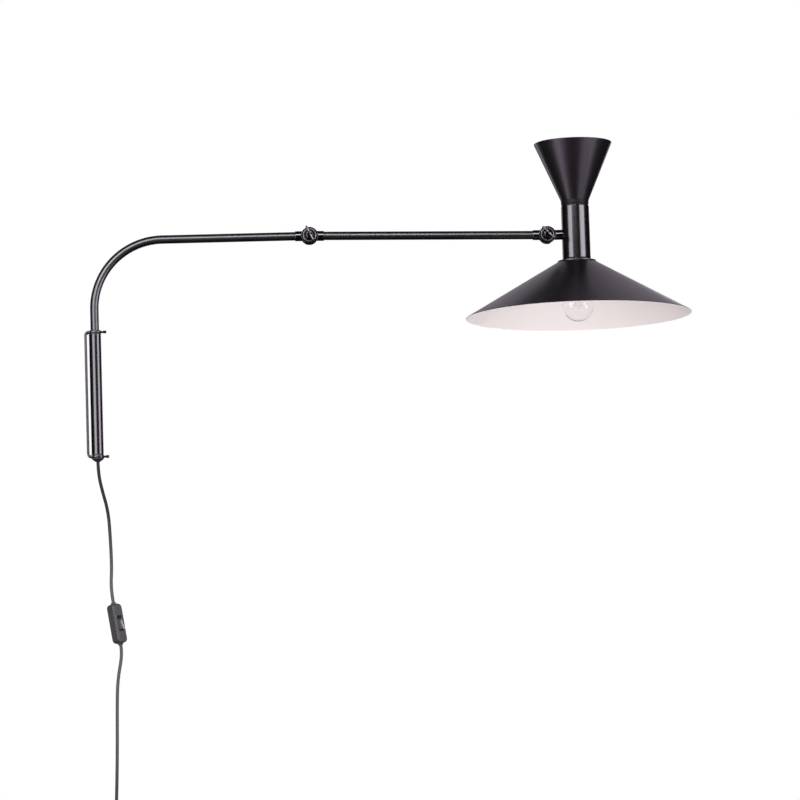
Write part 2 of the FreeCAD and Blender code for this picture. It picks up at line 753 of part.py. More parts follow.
def bulb(way, place):
    """Clear globe bulb: screw cap, hollow glass, and a stem with four upright filaments."""
    mouth = size("holder_mouth")
    cap_radius = size("bulb_cap_diameter") / 2
    cap_back = mouth - size("bulb_cap_length")
    contact = size("bulb_contact_diameter") / 2
    skirt = mouth + size("bulb_skirt")
    neck_end = size("bulb_neck_diameter") / 2
    cap = [
        (ZERO, cap_back), (contact, cap_back), (contact, cap_back + chamfer), (cap_radius, cap_back + chamfer * 4),
        (cap_radius, mouth + chamfer), (neck_end, mouth + chamfer), (neck_end, skirt), (ZERO, skirt),
    ]
    keep(revolve([(r, z * way) for r, z in cap], NECK), f"{place}_bulb_cap")
    centre = size("globe_centre")
    globe = size("globe_diameter") / 2
    wall = size("glass_wall")
    inner = globe - wall
    shoulder = math.radians(42)
    glass = [
        (neck_end, skirt), (globe * math.sin(shoulder), centre - globe * math.cos(shoulder)),
        (ZERO, centre + globe), (ZERO, centre + inner),
        (inner * math.sin(shoulder), centre - inner * math.cos(shoulder)), (neck_end - wall, skirt),
    ]
    arcs = {1: ("up", centre * way, way), 3: ("up", centre * way, -way)}
    keep(revolve([(r, z * way) for r, z in glass], NECK, arcs), f"{place}_bulb_glass")
    stem_top = skirt + size("stem_length")
    stem = size("stem_diameter") / 2
    stem_points = [(ZERO, skirt), (stem, skirt), (stem, stem_top), (ZERO, stem_top)]
    pieces = [revolve([(r, z * way) for r, z in stem_points])]
    plate = size("filament_circle") / 2 + size("filament_diameter")
    plate_top = stem_top + size("filament_diameter")
    plate_points = [(ZERO, stem_top), (plate, stem_top), (plate, plate_top), (ZERO, plate_top)]
    pieces.append(revolve([(r, z * way) for r, z in plate_points]))
    turn = Rotation() if way > 0 else Rotation(X_AXIS, 180)
    for quarter in range(4):
        angle = math.radians(45 + 90 * quarter)
        reach = SIZES["filament_circle"] / 2
        foot = at(reach * math.cos(angle), reach * math.sin(angle), stem_top * way, turn)
        pieces.append(rod(size("filament_diameter") / 2, size("filament_length"), foot))
    keep(fuse(pieces, NECK), f"{place}_bulb_filament")


# Free cord, its switch, its coil and its plug

def tangent_arc(first, corner, last):
    """The arc that touches two equal tangents from corner to first and last."""
    chord = (first + last) * 0.5
    half_chord = (last - first).Length / 2
    tangent = (corner - first).Length
    sine = half_chord / tangent
    sag = (corner - chord).Length * sine / (1 + sine)
    middle = chord + (corner - chord).normalize() * sag
    return Part.Arc(first, middle, last).toShape()


def cord_path(points):
    """Straight runs joined by tangent arcs, each as large as its shorter run allows."""
    points = [Vector(*p) for p in points]
    edges = []
    radii = []
    start = points[0]
    for before, corner, after in zip(points, points[1:], points[2:]):
        back = before - corner
        on = after - corner
        tangent = ARC_SHARE * min(back.Length, on.Length)
        first = corner + Vector(back).normalize() * tangent
        last = corner + Vector(on).normalize() * tangent
        turn = math.pi - back.getAngle(on)
        radii.append(round(tangent / math.tan(turn / 2), 1))
        edges.append(Part.LineSegment(start, first).toShape())
        edges.append(tangent_arc(first, corner, last))
        start = last
    edges.append(Part.LineSegment(start, points[-1]).toShape())
    return Part.Wire(edges), radii


def tube_along(wire, direction, label):
    """Round tube along a path; its volume is compared with its section times its length."""
    start = wire.OrderedVertexes[0].Point
    circle = Part.Wire([Part.Circle(start, direction, cord_radius.value).toShape()])
    solid = wire.makePipeShell([circle], True, False)
    expected = math.pi * cord_radius.value ** 2 * wire.Length
    print(f"{label}: length {wire.Length:.1f} mm, volume over section times length {solid.Volume / expected:.5f}")
    feature = doc.addObject("Part::Feature", "Tube")
    feature.Shape = solid
    return keep(feature, label)


def free_cord():
    for label, points in (("cord_upper", CORD_UPPER), ("cord_lower", CORD_LOWER)):
        wire, radii = cord_path(points)
        print(f"{label}: arc radii {radii}")
        tube_along(wire, Vector(*points[1]) - Vector(*points[0]), label)


def biarc(first, first_way, last, last_way):
    """Two arcs that join at a common tangent, between two points with given directions."""
    span = last - first
    both = first_way + last_way
    spread = 2 * (1 - first_way.dot(last_way))
    along = span.dot(both)
    reach = (math.sqrt(along ** 2 + spread * span.dot(span)) - along) / spread
    near = first + first_way * reach
    far = last - last_way * reach
    join = (near + far) * 0.5
    return [tangent_arc(first, near, join), tangent_arc(join, far, last)]


def coil_point(turns):
    """Point of the coil's centre line, spiralling in on one layer and out on the next."""
    middle = SIZES["coil_turns"] / 2
    radius = SIZES["coil_inner_radius"] + SIZES["coil_pitch"] * abs(turns - middle)
    climb = min(max((turns - middle) * 2 + 0.5, 0.0), 1.0)
    layer = SIZES["coil_layer_pitch"] * climb * climb * (3 - 2 * climb)
    angle = 2 * math.pi * turns
    start = Vector(*CORD_LOWER[-1])
    outer = SIZES["coil_inner_radius"] + SIZES["coil_pitch"] * middle
    centre = start - Vector(0, outer, SIZES["cord_diameter"])
    return centre + Vector(layer, radius * math.cos(angle), -radius * math.sin(angle))


def coil_way(turns):
    step = 0.02
    return (coil_point(turns + step) - coil_point(turns - step)).normalize()


def cord_coil():
    """Put-away cord: one unbroken tube of turns in two layers, straight at both ends."""
    down = Vector(0, 0, -1)
    turns = SIZES["coil_turns"]
    quarters = round(turns * 4)
    stations = [turns * step / quarters for step in range(quarters + 1)]
    ways = [coil_way(station) for station in stations]
    ways[0] = down
    ways[-1] = down
    lead = down * SIZES["cord_diameter"]
    tail = down * SIZES["coil_tail"]
    first, last = coil_point(0), coil_point(turns)
    edges = [Part.LineSegment(first - lead, first).toShape()]
    for step in range(quarters):
        edges += biarc(coil_point(stations[step]), ways[step], coil_point(stations[step + 1]), ways[step + 1])
    edges.append(Part.LineSegment(last, last + tail).toShape())
    wire = Part.Wire(edges)
    print(f"cord_coil: least gap between turns {coil_gap(edges):.2f} mm")
    tube_along(wire, down, "cord_coil")
    return last + tail


def coil_gap(edges):
    """Least distance between two stretches of the coil a quarter turn or more apart, less the cord."""
    points = []
    travelled = 0.0
    for edge in edges:
        for share in range(6):
            parameter = edge.FirstParameter + (edge.LastParameter - edge.FirstParameter) * share / 6
            points.append((travelled + edge.Length * share / 6, edge.valueAt(parameter)))
        travelled += edge.Length
    apart = math.pi * SIZES["coil_inner_radius"] / 2
    nearest = min(
        (one - other).Length
        for number, (here, one) in enumerate(points)
        for there, other in points[number + 1:]
        if there - here > apart
    )
    return nearest - SIZES["cord_diameter"]


def coil_tie():
    """Flat strap round the turns where the cord enters the coil and leaves it."""
    inner = size("coil_inner_radius")
    outer = inner + size("coil_pitch") * size("coil_turns") / 2
    clear = cord_radius + size("tie_gap")
    wide = (outer - inner) / 2 + clear
    deep = size("coil_layer_pitch") / 2 + clear
    wall = size("tie_wall")
    entry = coil_point(0)
    middle = at(entry.x + SIZES["coil_layer_pitch"] / 2, entry.y - (outer - inner).value / 2, entry.z)

    def loop(across, up, corner, width):
        points = [
            (-across, corner - up), (corner - across, -up), (across - corner, -up), (across, corner - up),
            (across, up - corner), (across - corner, up), (corner - across, up), (-across, up - corner),
        ]
        arcs = {
            0: ("across", corner - across, 1), 2: ("across", across - corner, 1),
            4: ("across", across - corner, 1), 6: ("across", corner - across, 1),
        }
        return prism("XY_Plane", points, width, arcs=arcs)

    outside = loop(deep + wall, wide + wall, size("tie_corner") + wall, size("tie_width"))
    inside = loop(deep, wide, size("tie_corner"), size("tie_width") + margin)
    keep(cut(outside, [inside], middle), "coil_tie")


def inline_switch():
    """Two-part housing on the cord with a rocker that tips between two stops."""
    top = Vector(*CORD_UPPER[-1])
    bottom = Vector(*CORD_LOWER[0])
    turn = Rotation(Y_AXIS, -SIZES["switch_tilt"]).multiply(Rotation(Z_AXIS, SIZES["switch_twist"]))
    frame = Placement((top + bottom) * 0.5, turn)
    half_length = size("switch_length") / 2
    half_width = size("switch_width") / 2
    half_depth = size("switch_depth") / 2
    corner = size("switch_corner")
    side = half_length - corner
    flat = half_width - corner
    points = [
        (-flat, -half_length), (flat, -half_length), (half_width, -side), (half_width, side),
        (flat, half_length), (-flat, half_length), (-half_width, side), (-half_width, -side),
    ]
    arcs = {1: ("across", flat, 1), 3: ("across", flat, 1), 5: ("across", -flat, 1), 7: ("across", -flat, 1)}
    front = prism("XZ_Plane", points, half_depth, arcs=arcs, middle=False)
    back = prism("XZ_Plane", points, half_depth, arcs=arcs, middle=False, reverse=True)

    def outer_edge(edge):
        box = edge.BoundBox
        return box.YLength < 1e-6 and abs(box.YMin) > half_depth.value / 2

    edge = size("switch_edge")
    gap = size("rocker_gap")
    pivot = half_depth - size("rocker_pivot_depth")
    reach = size("rocker_length") / 2
    swing = (reach * reach + (size("rocker_pivot_depth") + size("rocker_rise")) * (
        size("rocker_pivot_depth") + size("rocker_rise"))).root() + gap
    well_width = size("rocker_width") + gap * 2
    well_depth = size("rocker_depth") + size("rocker_rise") + gap * 2
    well = block(well_width, well_depth, swing * 2,
                 at(well_width / -2, -half_depth, -swing))
    pin_radius = size("rocker_pin_diameter") / 2
    pin_reach = size("rocker_width") / 2 + size("rocker_pin_diameter")
    pin_hole = rod(pin_radius + running, (pin_reach + gap) * 2,
                   at(-(pin_reach + gap), -pivot, 0, TO_RIGHT))
    keep(cut(round_edges(front, edge, outer_edge), [well, pin_hole], frame), "switch_front")
    hole = size("switch_screw_diameter") / 2
    head = size("switch_screw_head") / 2
    sink = size("switch_screw_diameter")
    screws = []
    holes = []
    spots = [size("switch_screw_spacing") / 2, size("switch_screw_spacing") / -2]
    for spot in spots:
        seat = at(0, half_depth, spot, TO_FRONT)
        screws.append(revolve([
            (ZERO, slip), (head, slip), (head, sink), (hole, sink), (hole, half_depth), (ZERO, half_depth),
        ], seat))
        holes.append(rod(hole + slip, half_depth, seat))
        holes.append(rod(head + slip, sink, seat))
    keep(cut(round_edges(back, edge, outer_edge), holes, frame), "switch_back")
    keep(fuse(screws, frame), "switch_screws")
    nub = size("switch_nub_diameter") / 2
    nub_length = size("switch_nub_length")
    nub_points = [
        (ZERO, half_length), (nub, half_length), (cord_radius + chamfer, half_length + nub_length),
        (ZERO, half_length + nub_length),
    ]
    nubs = [revolve([(r, z * way) for r, z in nub_points]) for way in (1, -1)]
    keep(fuse(nubs, frame), "switch_cord_nubs")
    rocker(frame, pivot, pin_radius, pin_reach)


def rocker(frame, pivot, pin_radius, pin_reach):
    """Rocker with a shallow hollow face, tipped to one of its two stops."""
    reach = size("rocker_length") / 2
    face = size("rocker_pivot_depth")
    rise = size("rocker_rise")
    base = size("rocker_depth") - face
    points = [
        (-face, ZERO), (-face - rise, -reach), (base, chamfer - reach), (base, reach - chamfer), (-face - rise, reach),
    ]
    tip = prism("YZ_Plane", points, size("rocker_width"))
    pin = rod(pin_radius, pin_reach * 2, at(-pin_reach, 0, 0, TO_RIGHT))
    tipped = at(0, -pivot, 0, Rotation(X_AXIS, -SIZES["rocker_throw"]))
    keep(fuse([tip, pin], frame.multiply(tipped)), "switch_rocker")


def plug(start):
    """Flat two-pin plug that hangs from the coil on its sleeve."""
    frame = Placement(start, Rotation(X_AXIS, 180))
    sleeve_length = size("plug_sleeve_length")
    sleeve = size("plug_sleeve_diameter") / 2
    keep(revolve([
        (ZERO, ZERO), (cord_radius + chamfer, ZERO), (sleeve, sleeve_length), (ZERO, sleeve_length),
    ], frame), "plug_sleeve")
    half_width = size("plug_width") / 2
    half_shoulder = size("plug_shoulder") / 2
    face = sleeve_length + size("plug_length")
    flare = sleeve_length + size("plug_length") / 2
    body = prism("XZ_Plane", [
        (-half_shoulder, sleeve_length), (half_shoulder, sleeve_length), (half_width, flare), (half_width, face),
        (-half_width, face), (-half_width, flare),
    ], size("plug_depth"))
    half_depth = SIZES["plug_depth"] / 2

    def outer_edge(edge):
        box = edge.BoundBox
        return box.YLength < 1e-6 and abs(abs(box.YMin) - half_depth) < 1e-6

    rounded = round_edges(body, size("plug_edge"), outer_edge)
    rounded.Placement = frame
    keep(rounded, "plug_body")
    half_spacing = size("plug_pin_spacing") / 2
    pins = [rod(size("plug_pin_diameter") / 2, size("plug_pin_length"), at(half_spacing * way, 0, face))
            for way in (1, -1)]
    keep(fuse(pins, frame), "plug_pins")


wall_bracket()
ear_screw(ear_middle, "upper_ear_screw")
ear_screw(-ear_middle, "lower_ear_screw")
swivel()
swing_arm()
forearm()
pivot_washers(FOREARM, "elbow")
wing_screw(ELBOW, SIZES["elbow_wing_angle"], "elbow_wing_screw")
head_knuckle()
pivot_washers(HEAD_PIVOT, "head")
wing_screw(HEAD_PIVOT, SIZES["head_wing_angle"], "head_wing_screw")
neck()
lower_shade()
upper_cone()
for way, place in ((-1, "lower"), (1, "upper")):
    lampholder(way, place)
    bulb(way, place)
free_cord()
inline_switch()
plug_start = cord_coil()
coil_tie()
plug(plug_start)

# Check every object and every piece, then write the pieces

doc.recompute()
failed = [item.Label for item in doc.Objects if "Invalid" in item.State or "Error" in item.State]
failed += [piece.Label for piece in PARTS if piece.Shape.isNull() or not piece.Shape.isValid()]
if failed:
    raise SystemExit(f"failed: {failed}")
os.makedirs("parts", exist_ok=True)
for piece in PARTS:
    piece.Shape.exportStep(f"parts/{piece.Label}.step")
print(f"{len(PARTS)} pieces")
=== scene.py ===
import json
import math

import bmesh
import bpy
import numpy as np
from mathutils import Matrix


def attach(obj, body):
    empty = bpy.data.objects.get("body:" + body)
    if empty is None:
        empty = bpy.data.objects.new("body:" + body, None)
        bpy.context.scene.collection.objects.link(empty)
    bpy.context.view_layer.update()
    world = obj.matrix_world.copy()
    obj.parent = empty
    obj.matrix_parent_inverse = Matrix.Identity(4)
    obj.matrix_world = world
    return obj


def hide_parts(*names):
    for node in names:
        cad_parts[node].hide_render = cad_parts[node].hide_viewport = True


# Swing arm wall lamp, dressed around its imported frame.
# Places are in metres and sizes of pieces in millimetres; MM turns millimetres into metres.
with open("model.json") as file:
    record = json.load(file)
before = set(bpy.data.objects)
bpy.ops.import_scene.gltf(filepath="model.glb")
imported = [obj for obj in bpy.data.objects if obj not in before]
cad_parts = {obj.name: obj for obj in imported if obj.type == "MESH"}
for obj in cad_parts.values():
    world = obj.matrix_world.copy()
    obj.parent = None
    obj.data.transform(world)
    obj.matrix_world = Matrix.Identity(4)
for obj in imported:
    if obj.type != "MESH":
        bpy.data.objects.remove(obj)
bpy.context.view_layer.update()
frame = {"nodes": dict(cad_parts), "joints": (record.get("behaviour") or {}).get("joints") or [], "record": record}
MM = 0.001
JOINT = {joint["name"]: np.array(joint["pos_m"]) for joint in frame["joints"]}
OUT = np.array([1.0, 0.0, 0.0])
UP = np.array([0.0, 0.0, 1.0])
FRONT = np.array([0.0, -1.0, 0.0])
SWIVEL_REACH = 15.0
SWIVEL = OUT * SWIVEL_REACH * MM
ELBOW = JOINT["elbow_tilt"]
HEAD = JOINT["head_tilt"]
NECK = HEAD + OUT * 41.0 * MM
ALONG = (HEAD - ELBOW) / np.linalg.norm(HEAD - ELBOW)


class Value:
    """A shader socket that carries a number: arithmetic on it adds Math nodes."""

    def __init__(self, finish, socket):
        self.finish = finish
        self.socket = socket

    def maths(self, operation, *terms):
        return self.finish.node("Math", {"operation": operation}, dict(enumerate(terms)))

    def __add__(self, other):
        return self.maths("ADD", self, other)

    def __radd__(self, other):
        return self.maths("ADD", other, self)

    def __sub__(self, other):
        return self.maths("SUBTRACT", self, other)

    def __rsub__(self, other):
        return self.maths("SUBTRACT", other, self)

    def __mul__(self, other):
        return self.maths("MULTIPLY", self, other)

    def __rmul__(self, other):
        return self.maths("MULTIPLY", other, self)

    def __truediv__(self, other):
        return self.maths("DIVIDE", self, other)

    def __lt__(self, other):
        return self.maths("LESS_THAN", self, other)


class Finish:
    """A material under construction, with one method that adds any node."""

    def __init__(self, name):
        self.material = bpy.data.materials.new(name)
        self.material.use_nodes = True
        self.tree = self.material.node_tree
        self.shader = self.tree.nodes["Principled BSDF"]

    def node(self, kind, settings=None, inputs=None, output=0):
        """Add a node, set its settings, then give its sockets values or links."""
        node = self.tree.nodes.new(f"ShaderNode{kind}")
        for key, value in (settings or {}).items():
            setattr(node, key, value)
        self.feed(node, inputs or {})
        return Value(self, node.outputs[output])

    def feed(self, node, inputs):
        for key, value in inputs.items():
            if isinstance(value, Value):
                self.tree.links.new(value.socket, node.inputs[key])
            else:
                node.inputs[key].default_value = value

    def surface(self, **inputs):
        """Feed the main shader: base_color stands for its Base Color socket, and so on."""
        named = {key.replace("_", " ").title().replace("Ior", "IOR"): value
                 for key, value in inputs.items()}
        self.feed(self.shader, named)
        return self.material

    def place(self):
        return self.node("TexCoord", output="Object")

    def along(self, letter):
        """Place along X, Y or Z."""
        return self.node("SeparateXYZ", None, {0: self.place()}, output=letter)

    def noise(self, scale, detail=2.0):
        inputs = {"Vector": self.place(), "Scale": scale, "Detail": detail}
        return self.node("TexNoise", None, inputs)

    def rings(self, centre, scale):
        """Uneven rings about an upright axis through centre, as spinning leaves them."""
        centred = (-centre[0], -centre[1], 0.0)
        across = self.node("Mapping", None, {"Vector": self.place(), "Location": centred})
        flat = self.node("VectorMath", {"operation": "MULTIPLY"}, {0: across, 1: (1.0, 1.0, 0.0)})
        reach = self.node("VectorMath", {"operation": "LENGTH"}, {0: flat}, output=1)
        inputs = {"W": reach, "Scale": scale, "Detail": 2.0}
        return self.node("TexNoise", {"noise_dimensions": "1D"}, inputs)

    def blend(self, share, first, second):
        """Colour between two colours, through the Mix node's sockets for colours."""
        inputs = {0: share, 6: first, 7: second}
        return self.node("Mix", {"data_type": "RGBA"}, inputs, output=2)

    def bump(self, height, strength, depth):
        inputs = {"Height": height, "Strength": strength, "Distance": depth}
        return self.node("Bump", None, inputs)


def sway(noise, amount):
    """Noise drawn out to amount in all and centred on nought."""
    return (noise - 0.5) * amount


def grey(level, warmth=0.0):
    """Grey with its red and blue raised by warmth."""
    return (level * (1 + warmth), level, level * (1 + warmth), 1.0)


# Finishes

def lacquer(name, roughness):
    """Black stoved lacquer on metal: slow clouds in its gloss and a faint orange peel."""
    finish = Finish(name)
    cloud = finish.noise(28.0, detail=3.0)
    peel = finish.noise(620.0)
    return finish.surface(
        base_color=finish.blend(cloud, grey(0.0012, 0.06), grey(0.00195, 0.12)),
        roughness=roughness + sway(cloud, 0.06),
        normal=finish.bump(peel, strength=0.06, depth=0.02 * MM),
        specular_ior_level=1.0,
    )


def powder_coat(name, centre):
    """Black powder coat on spun sheet: fine grain over faint rings left by the spinning."""
    finish = Finish(name)
    cloud = finish.noise(16.0, detail=4.0)
    grain = finish.noise(2300.0)
    rings = finish.rings(centre, 420.0)
    return finish.surface(
        base_color=finish.blend(cloud, grey(0.00255, 0.10), grey(0.00405, 0.16)),
        roughness=0.30 + sway(cloud, 0.06) + sway(grain, 0.08),
        normal=finish.bump(grain * 0.6 + rings * 0.5, strength=0.10, depth=0.03 * MM),
        specular_ior_level=0.8,
        specular_tint=(1.0, 0.91, 1.0, 1.0),
    )


def white_enamel(name, centre):
    """White stoved enamel inside a shade, with the spinning rings just showing through."""
    finish = Finish(name)
    cloud = finish.noise(12.0, detail=3.0)
    grain = finish.noise(1500.0)
    rings = finish.rings(centre, 300.0)
    return finish.surface(
        base_color=finish.blend(cloud, (0.86, 0.83, 0.75, 1.0), (0.89, 0.86, 0.78, 1.0)),
        roughness=0.42 + sway(grain, 0.1),
        normal=finish.bump(grain * 0.5 + rings * 0.5, strength=0.12, depth=0.05 * MM),
    )


def moulded(name, level, roughness, texture=1800.0, depth=0.05, warmth=0.06, shine=0.5):
    """Moulded plastic or rubber: even colour, slow gloss changes and a fine spark texture."""
    finish = Finish(name)
    cloud = finish.noise(60.0, detail=3.0)
    spark = finish.noise(texture, detail=3.0)
    return finish.surface(
        base_color=finish.blend(cloud, grey(level * 0.88, warmth), grey(level * 1.12, warmth)),
        roughness=roughness + sway(cloud, 0.08) + sway(spark, 0.10),
        normal=finish.bump(spark, strength=0.3, depth=depth * MM),
        specular_ior_level=shine,
    )


def painted_light_by_height(name, upper, lower, level, band, roughness, shine):
    """Plastic painted one grey above a level and another below it, changing over a band of height: painted shade
    and highlight standing in for how light falls.
    """
    finish = Finish(name)
    spark = finish.noise(1200.0, detail=3.0)
    share = finish.node("Clamp", None, {0: (level - finish.along("Z")) / band + 0.5})
    return finish.surface(
        base_color=finish.blend(share, grey(upper, -0.04), grey(lower, -0.04)),
        roughness=roughness + sway(spark, 0.10),
        normal=finish.bump(spark, strength=0.3, depth=0.02 * MM),
        specular_ior_level=shine,
    )


def bare_metal(name, dark, light, roughness):
    """Plain turned or drawn metal with small stains in its gloss."""
    finish = Finish(name)
    stain = finish.noise(180.0, detail=4.0)
    scratch = finish.noise(1600.0)
    return finish.surface(
        base_color=finish.blend(stain, dark, light),
        metallic=1.0,
        roughness=roughness + sway(stain, 0.12),
        normal=finish.bump(scratch, strength=0.12, depth=0.03 * MM),
    )


def front_painted_highlight(name, edge, top):
    """Black lacquer with bright bare metal past a front plane and below a height: a painted highlight along the
    blade's front, partly rubbed wear.
    """
    finish = Finish(name)
    ragged = sway(finish.noise(900.0, detail=3.0), 0.6) * MM
    # Painted highlight mask: in front of the plane and below the height, with a ragged border.
    highlit_bare = (finish.along("Y") + ragged < edge) * (finish.along("Z") + ragged < top)
    return finish.surface(
        base_color=finish.blend(highlit_bare, grey(0.0015), grey(0.26, 0.05)),
        metallic=highlit_bare,
        roughness=0.13 + highlit_bare * 0.27,
        specular_ior_level=1.0,
    )


def clear_glass(name):
    """Clear blown glass, with slow waves in its thickness."""
    finish = Finish(name)
    wave = finish.noise(70.0, detail=1.0)
    return finish.surface(
        base_color=(1.0, 1.0, 1.0, 1.0),
        roughness=0.0,
        transmission_weight=1.0,
        ior=1.05,
        coat_weight=0.5,
        coat_roughness=0.06,
        normal=finish.bump(wave, strength=0.12, depth=0.2 * MM),
    )


ROCKER_MIDDLE = -0.3185
FINISHES = {
    "black_steel": lacquer("black_lacquer", roughness=0.32),
    "black_neck": lacquer("black_neck_lacquer", roughness=0.20),
    "black_sheet": powder_coat("black_powder_coat", NECK),
    "bare_aluminium": bare_metal(
        "bare_aluminium", (0.62, 0.62, 0.64, 1), (0.75, 0.75, 0.76, 1), roughness=0.32),
    "plain_steel": bare_metal(
        "plain_steel", (0.42, 0.42, 0.43, 1), (0.58, 0.58, 0.58, 1), roughness=0.3),
    "pin_metal": bare_metal(
        "plated_pins", (0.62, 0.60, 0.55, 1), (0.75, 0.73, 0.68, 1), roughness=0.42),
    "cap_metal": bare_metal(
        "cap_metal", (0.62, 0.60, 0.55, 1), (0.75, 0.73, 0.70, 1), roughness=0.40),
    "filament": bare_metal(
        "filament_wire", (0.52, 0.50, 0.49, 1), (0.66, 0.64, 0.62, 1), roughness=0.5),
    "bush_plastic": moulded("bush_plastic", level=0.022, roughness=0.42),
    "black_plastic": moulded("gland_plastic", level=0.016, roughness=0.36),
    "holder_plastic": moulded(
        "holder_plastic", level=0.68, roughness=0.38, texture=900.0, depth=0.03, warmth=0.01),
    "switch_plastic": moulded(
        "switch_plastic", level=0.036, roughness=0.46, texture=1500.0, depth=0.09, warmth=-0.04),
    "tie_plastic": moulded("tie_plastic", level=0.02, roughness=0.55),
    "fibre": moulded(
        "fibre_washer", level=0.05, roughness=0.75, texture=1300.0, depth=0.2, warmth=0.2),
    # Painted shade: the rocker is nearly black above its middle, as the shadow of the well it sinks into; below
    # that it is its own grey.
    "rocker_plastic": painted_light_by_height(
        "rocker_plastic", upper=0.004, lower=0.05, level=ROCKER_MIDDLE, band=0.003,
        roughness=0.35, shine=0.4),
    # Painted shade: the cord is nearly black above this level and grey below it, standing in for the light the
    # flat cord catches lower down.
    "cord_sheath": painted_light_by_height(
        "cord_sheath", upper=0.002, lower=0.055, level=-0.215, band=0.10,
        roughness=0.40, shine=0.25),
    "bulb_glass": clear_glass("clear_glass"),
}
WHITE_INSIDE = white_enamel("white_enamel", NECK)
# Bright metal for the washers' rims: a painted highlight, partly wear.
RIM_HIGHLIGHT_METAL = bare_metal(
    "rim_painted_highlight", (0.14, 0.13, 0.14, 1), (0.22, 0.21, 0.22, 1), roughness=0.36)
DULL_BLACK = moulded(
    "dull_black", level=0.002, roughness=0.5, texture=900.0, depth=0.02, warmth=0.06, shine=0.2)
FITTING_BLACK = lacquer("fitting_black", roughness=0.13)
# Painted highlight: a pale edge on the rocker's lower half, with the same painted shade above the middle.
ROCKER_PAINTED_HIGHLIGHT = painted_light_by_height(
    "rocker_painted_highlight", upper=0.004, lower=0.20, level=ROCKER_MIDDLE, band=0.004,
    roughness=0.30, shine=0.5)

for row in frame["record"]["subparts"]:
    node = frame["nodes"][row["node"]]
    node.data.materials.clear()
    node.data.materials.append(FINISHES[row["material_slot"]])


# Outlines and surfaces: outlines are in millimetres, grids of points in metres, rows by columns

CORNER_STEPS = 6


def rounded(points, radius, steps=CORNER_STEPS):
    """Closed outline with its corners eased: each becomes the parabola that touches both sides.

    point = (1 - t)^2 * first + 2 t (1 - t) * corner + t^2 * last, with first and last on the
    two sides, at the radius from the corner or at half the shorter side.
    """
    points = np.asarray(points, float)
    radius = np.broadcast_to(radius, len(points))
    back = np.roll(points, 1, axis=0) - points
    on = np.roll(points, -1, axis=0) - points
    back_length = np.linalg.norm(back, axis=1)
    on_length = np.linalg.norm(on, axis=1)
    reach = np.minimum(radius, 0.5 * np.minimum(back_length, on_length))[:, None]
    first = (points + back / back_length[:, None] * reach)[:, None]
    last = (points + on / on_length[:, None] * reach)[:, None]
    t = np.linspace(0.0, 1.0, steps)[None, :, None]
    curve = (1 - t) ** 2 * first + 2 * t * (1 - t) * points[:, None] + t ** 2 * last
    return curve.reshape(-1, points.shape[1])


def by_corner(values, steps=CORNER_STEPS):
    """One value for each corner of an outline, repeated for the rows that rounding makes of it."""
    return np.repeat(values, steps)


def oblong(half_width, half_height):
    """Corners of an oblong about the middle."""
    return [(-half_width, -half_height), (half_width, -half_height),
            (half_width, half_height), (-half_width, half_height)]


def hoop(inner, outer, low, high):
    """Corners of the half section of a plain hoop, or of a solid where inner is nought."""
    return [(inner, low), (outer, low), (outer, high), (inner, high)]


def circle(radius, columns=64):
    angle = np.linspace(0.0, 2 * math.pi, columns, endpoint=False)
    return radius * np.c_[np.cos(angle), np.sin(angle)]


def ripple(level, pitch, depth):
    """Cosine wave from nought down to depth and back, once in each pitch."""
    return depth * (0.5 - 0.5 * np.cos(level * 2 * math.pi / pitch))


def axes_for(axis):
    """The axis at length one, and two directions square to it."""
    axis = np.asarray(axis, float) / np.linalg.norm(axis)
    helper = np.array([1.0, 0.0, 0.0]) if abs(axis[0]) < 0.9 else np.array([0.0, 1.0, 0.0])
    across = np.cross(axis, helper)
    across /= np.linalg.norm(across)
    return axis, across, np.cross(axis, across)


def outward_of(loop):
    """Direction out of a closed outline at each of its points, square to the chord across it."""
    way = np.roll(loop, -1, axis=0) - np.roll(loop, 1, axis=0)
    way /= np.linalg.norm(way, axis=1)[:, None]
    return np.c_[way[:, 1], -way[:, 0]]


def turned(profile, origin, axis=UP, columns=128, flutes=0, depth=0.0):
    """Surface of revolution of a profile of (radius, height).

    point(row, angle) = origin + axis * height + radius * (cos angle, sin angle). With flutes,
    depth (for each row) times a cosine wave of that many crests is taken off the radius.
    """
    profile = np.asarray(profile, float)
    axis, across, beside = axes_for(axis)
    angle = np.linspace(0.0, 2 * math.pi, columns, endpoint=False)
    spoke = np.cos(angle)[:, None] * across + np.sin(angle)[:, None] * beside
    wave = 0.5 - 0.5 * np.cos(flutes * angle)
    dip = np.broadcast_to(depth, len(profile))[:, None] * wave
    radius = (profile[:, :1] - dip) * MM
    return origin + (profile[:, 1] * MM)[:, None, None] * axis + radius[..., None] * spoke[None]


def pipe(path, side, section):
    """Section carried along a path: point = path + across * x + beside * y.

    across is side made square to the path, and beside is square to both.
    """
    way = np.gradient(path, axis=0)
    way /= np.linalg.norm(way, axis=1)[:, None]
    across = side - np.sum(side * way, axis=1)[:, None] * way
    across /= np.linalg.norm(across, axis=1)[:, None]
    beside = np.cross(way, across)
    section = np.asarray(section, float) * MM
    first = section[None, :, :1] * across[:, None]
    second = section[None, :, 1:] * beside[:, None]
    return path[:, None] + first + second


def capped(grid):
    """The grid with its first and last rows drawn in to their middles."""
    first, last = (np.broadcast_to(row.mean(axis=0), row.shape)[None] for row in grid[[0, -1]])
    return np.concatenate([first, grid, last])


def eased(low, high, edge, steps=CORNER_STEPS):
    """Rows of a slab from low to high as (inset, height), both edges rounded by quarter circles."""
    turn = np.linspace(0.0, math.pi / 2, steps)
    inset, rise = edge * (1 - np.sin(turn)), edge * (1 - np.cos(turn))
    return np.r_[np.c_[inset, low + rise], np.c_[inset, high - rise][::-1]]


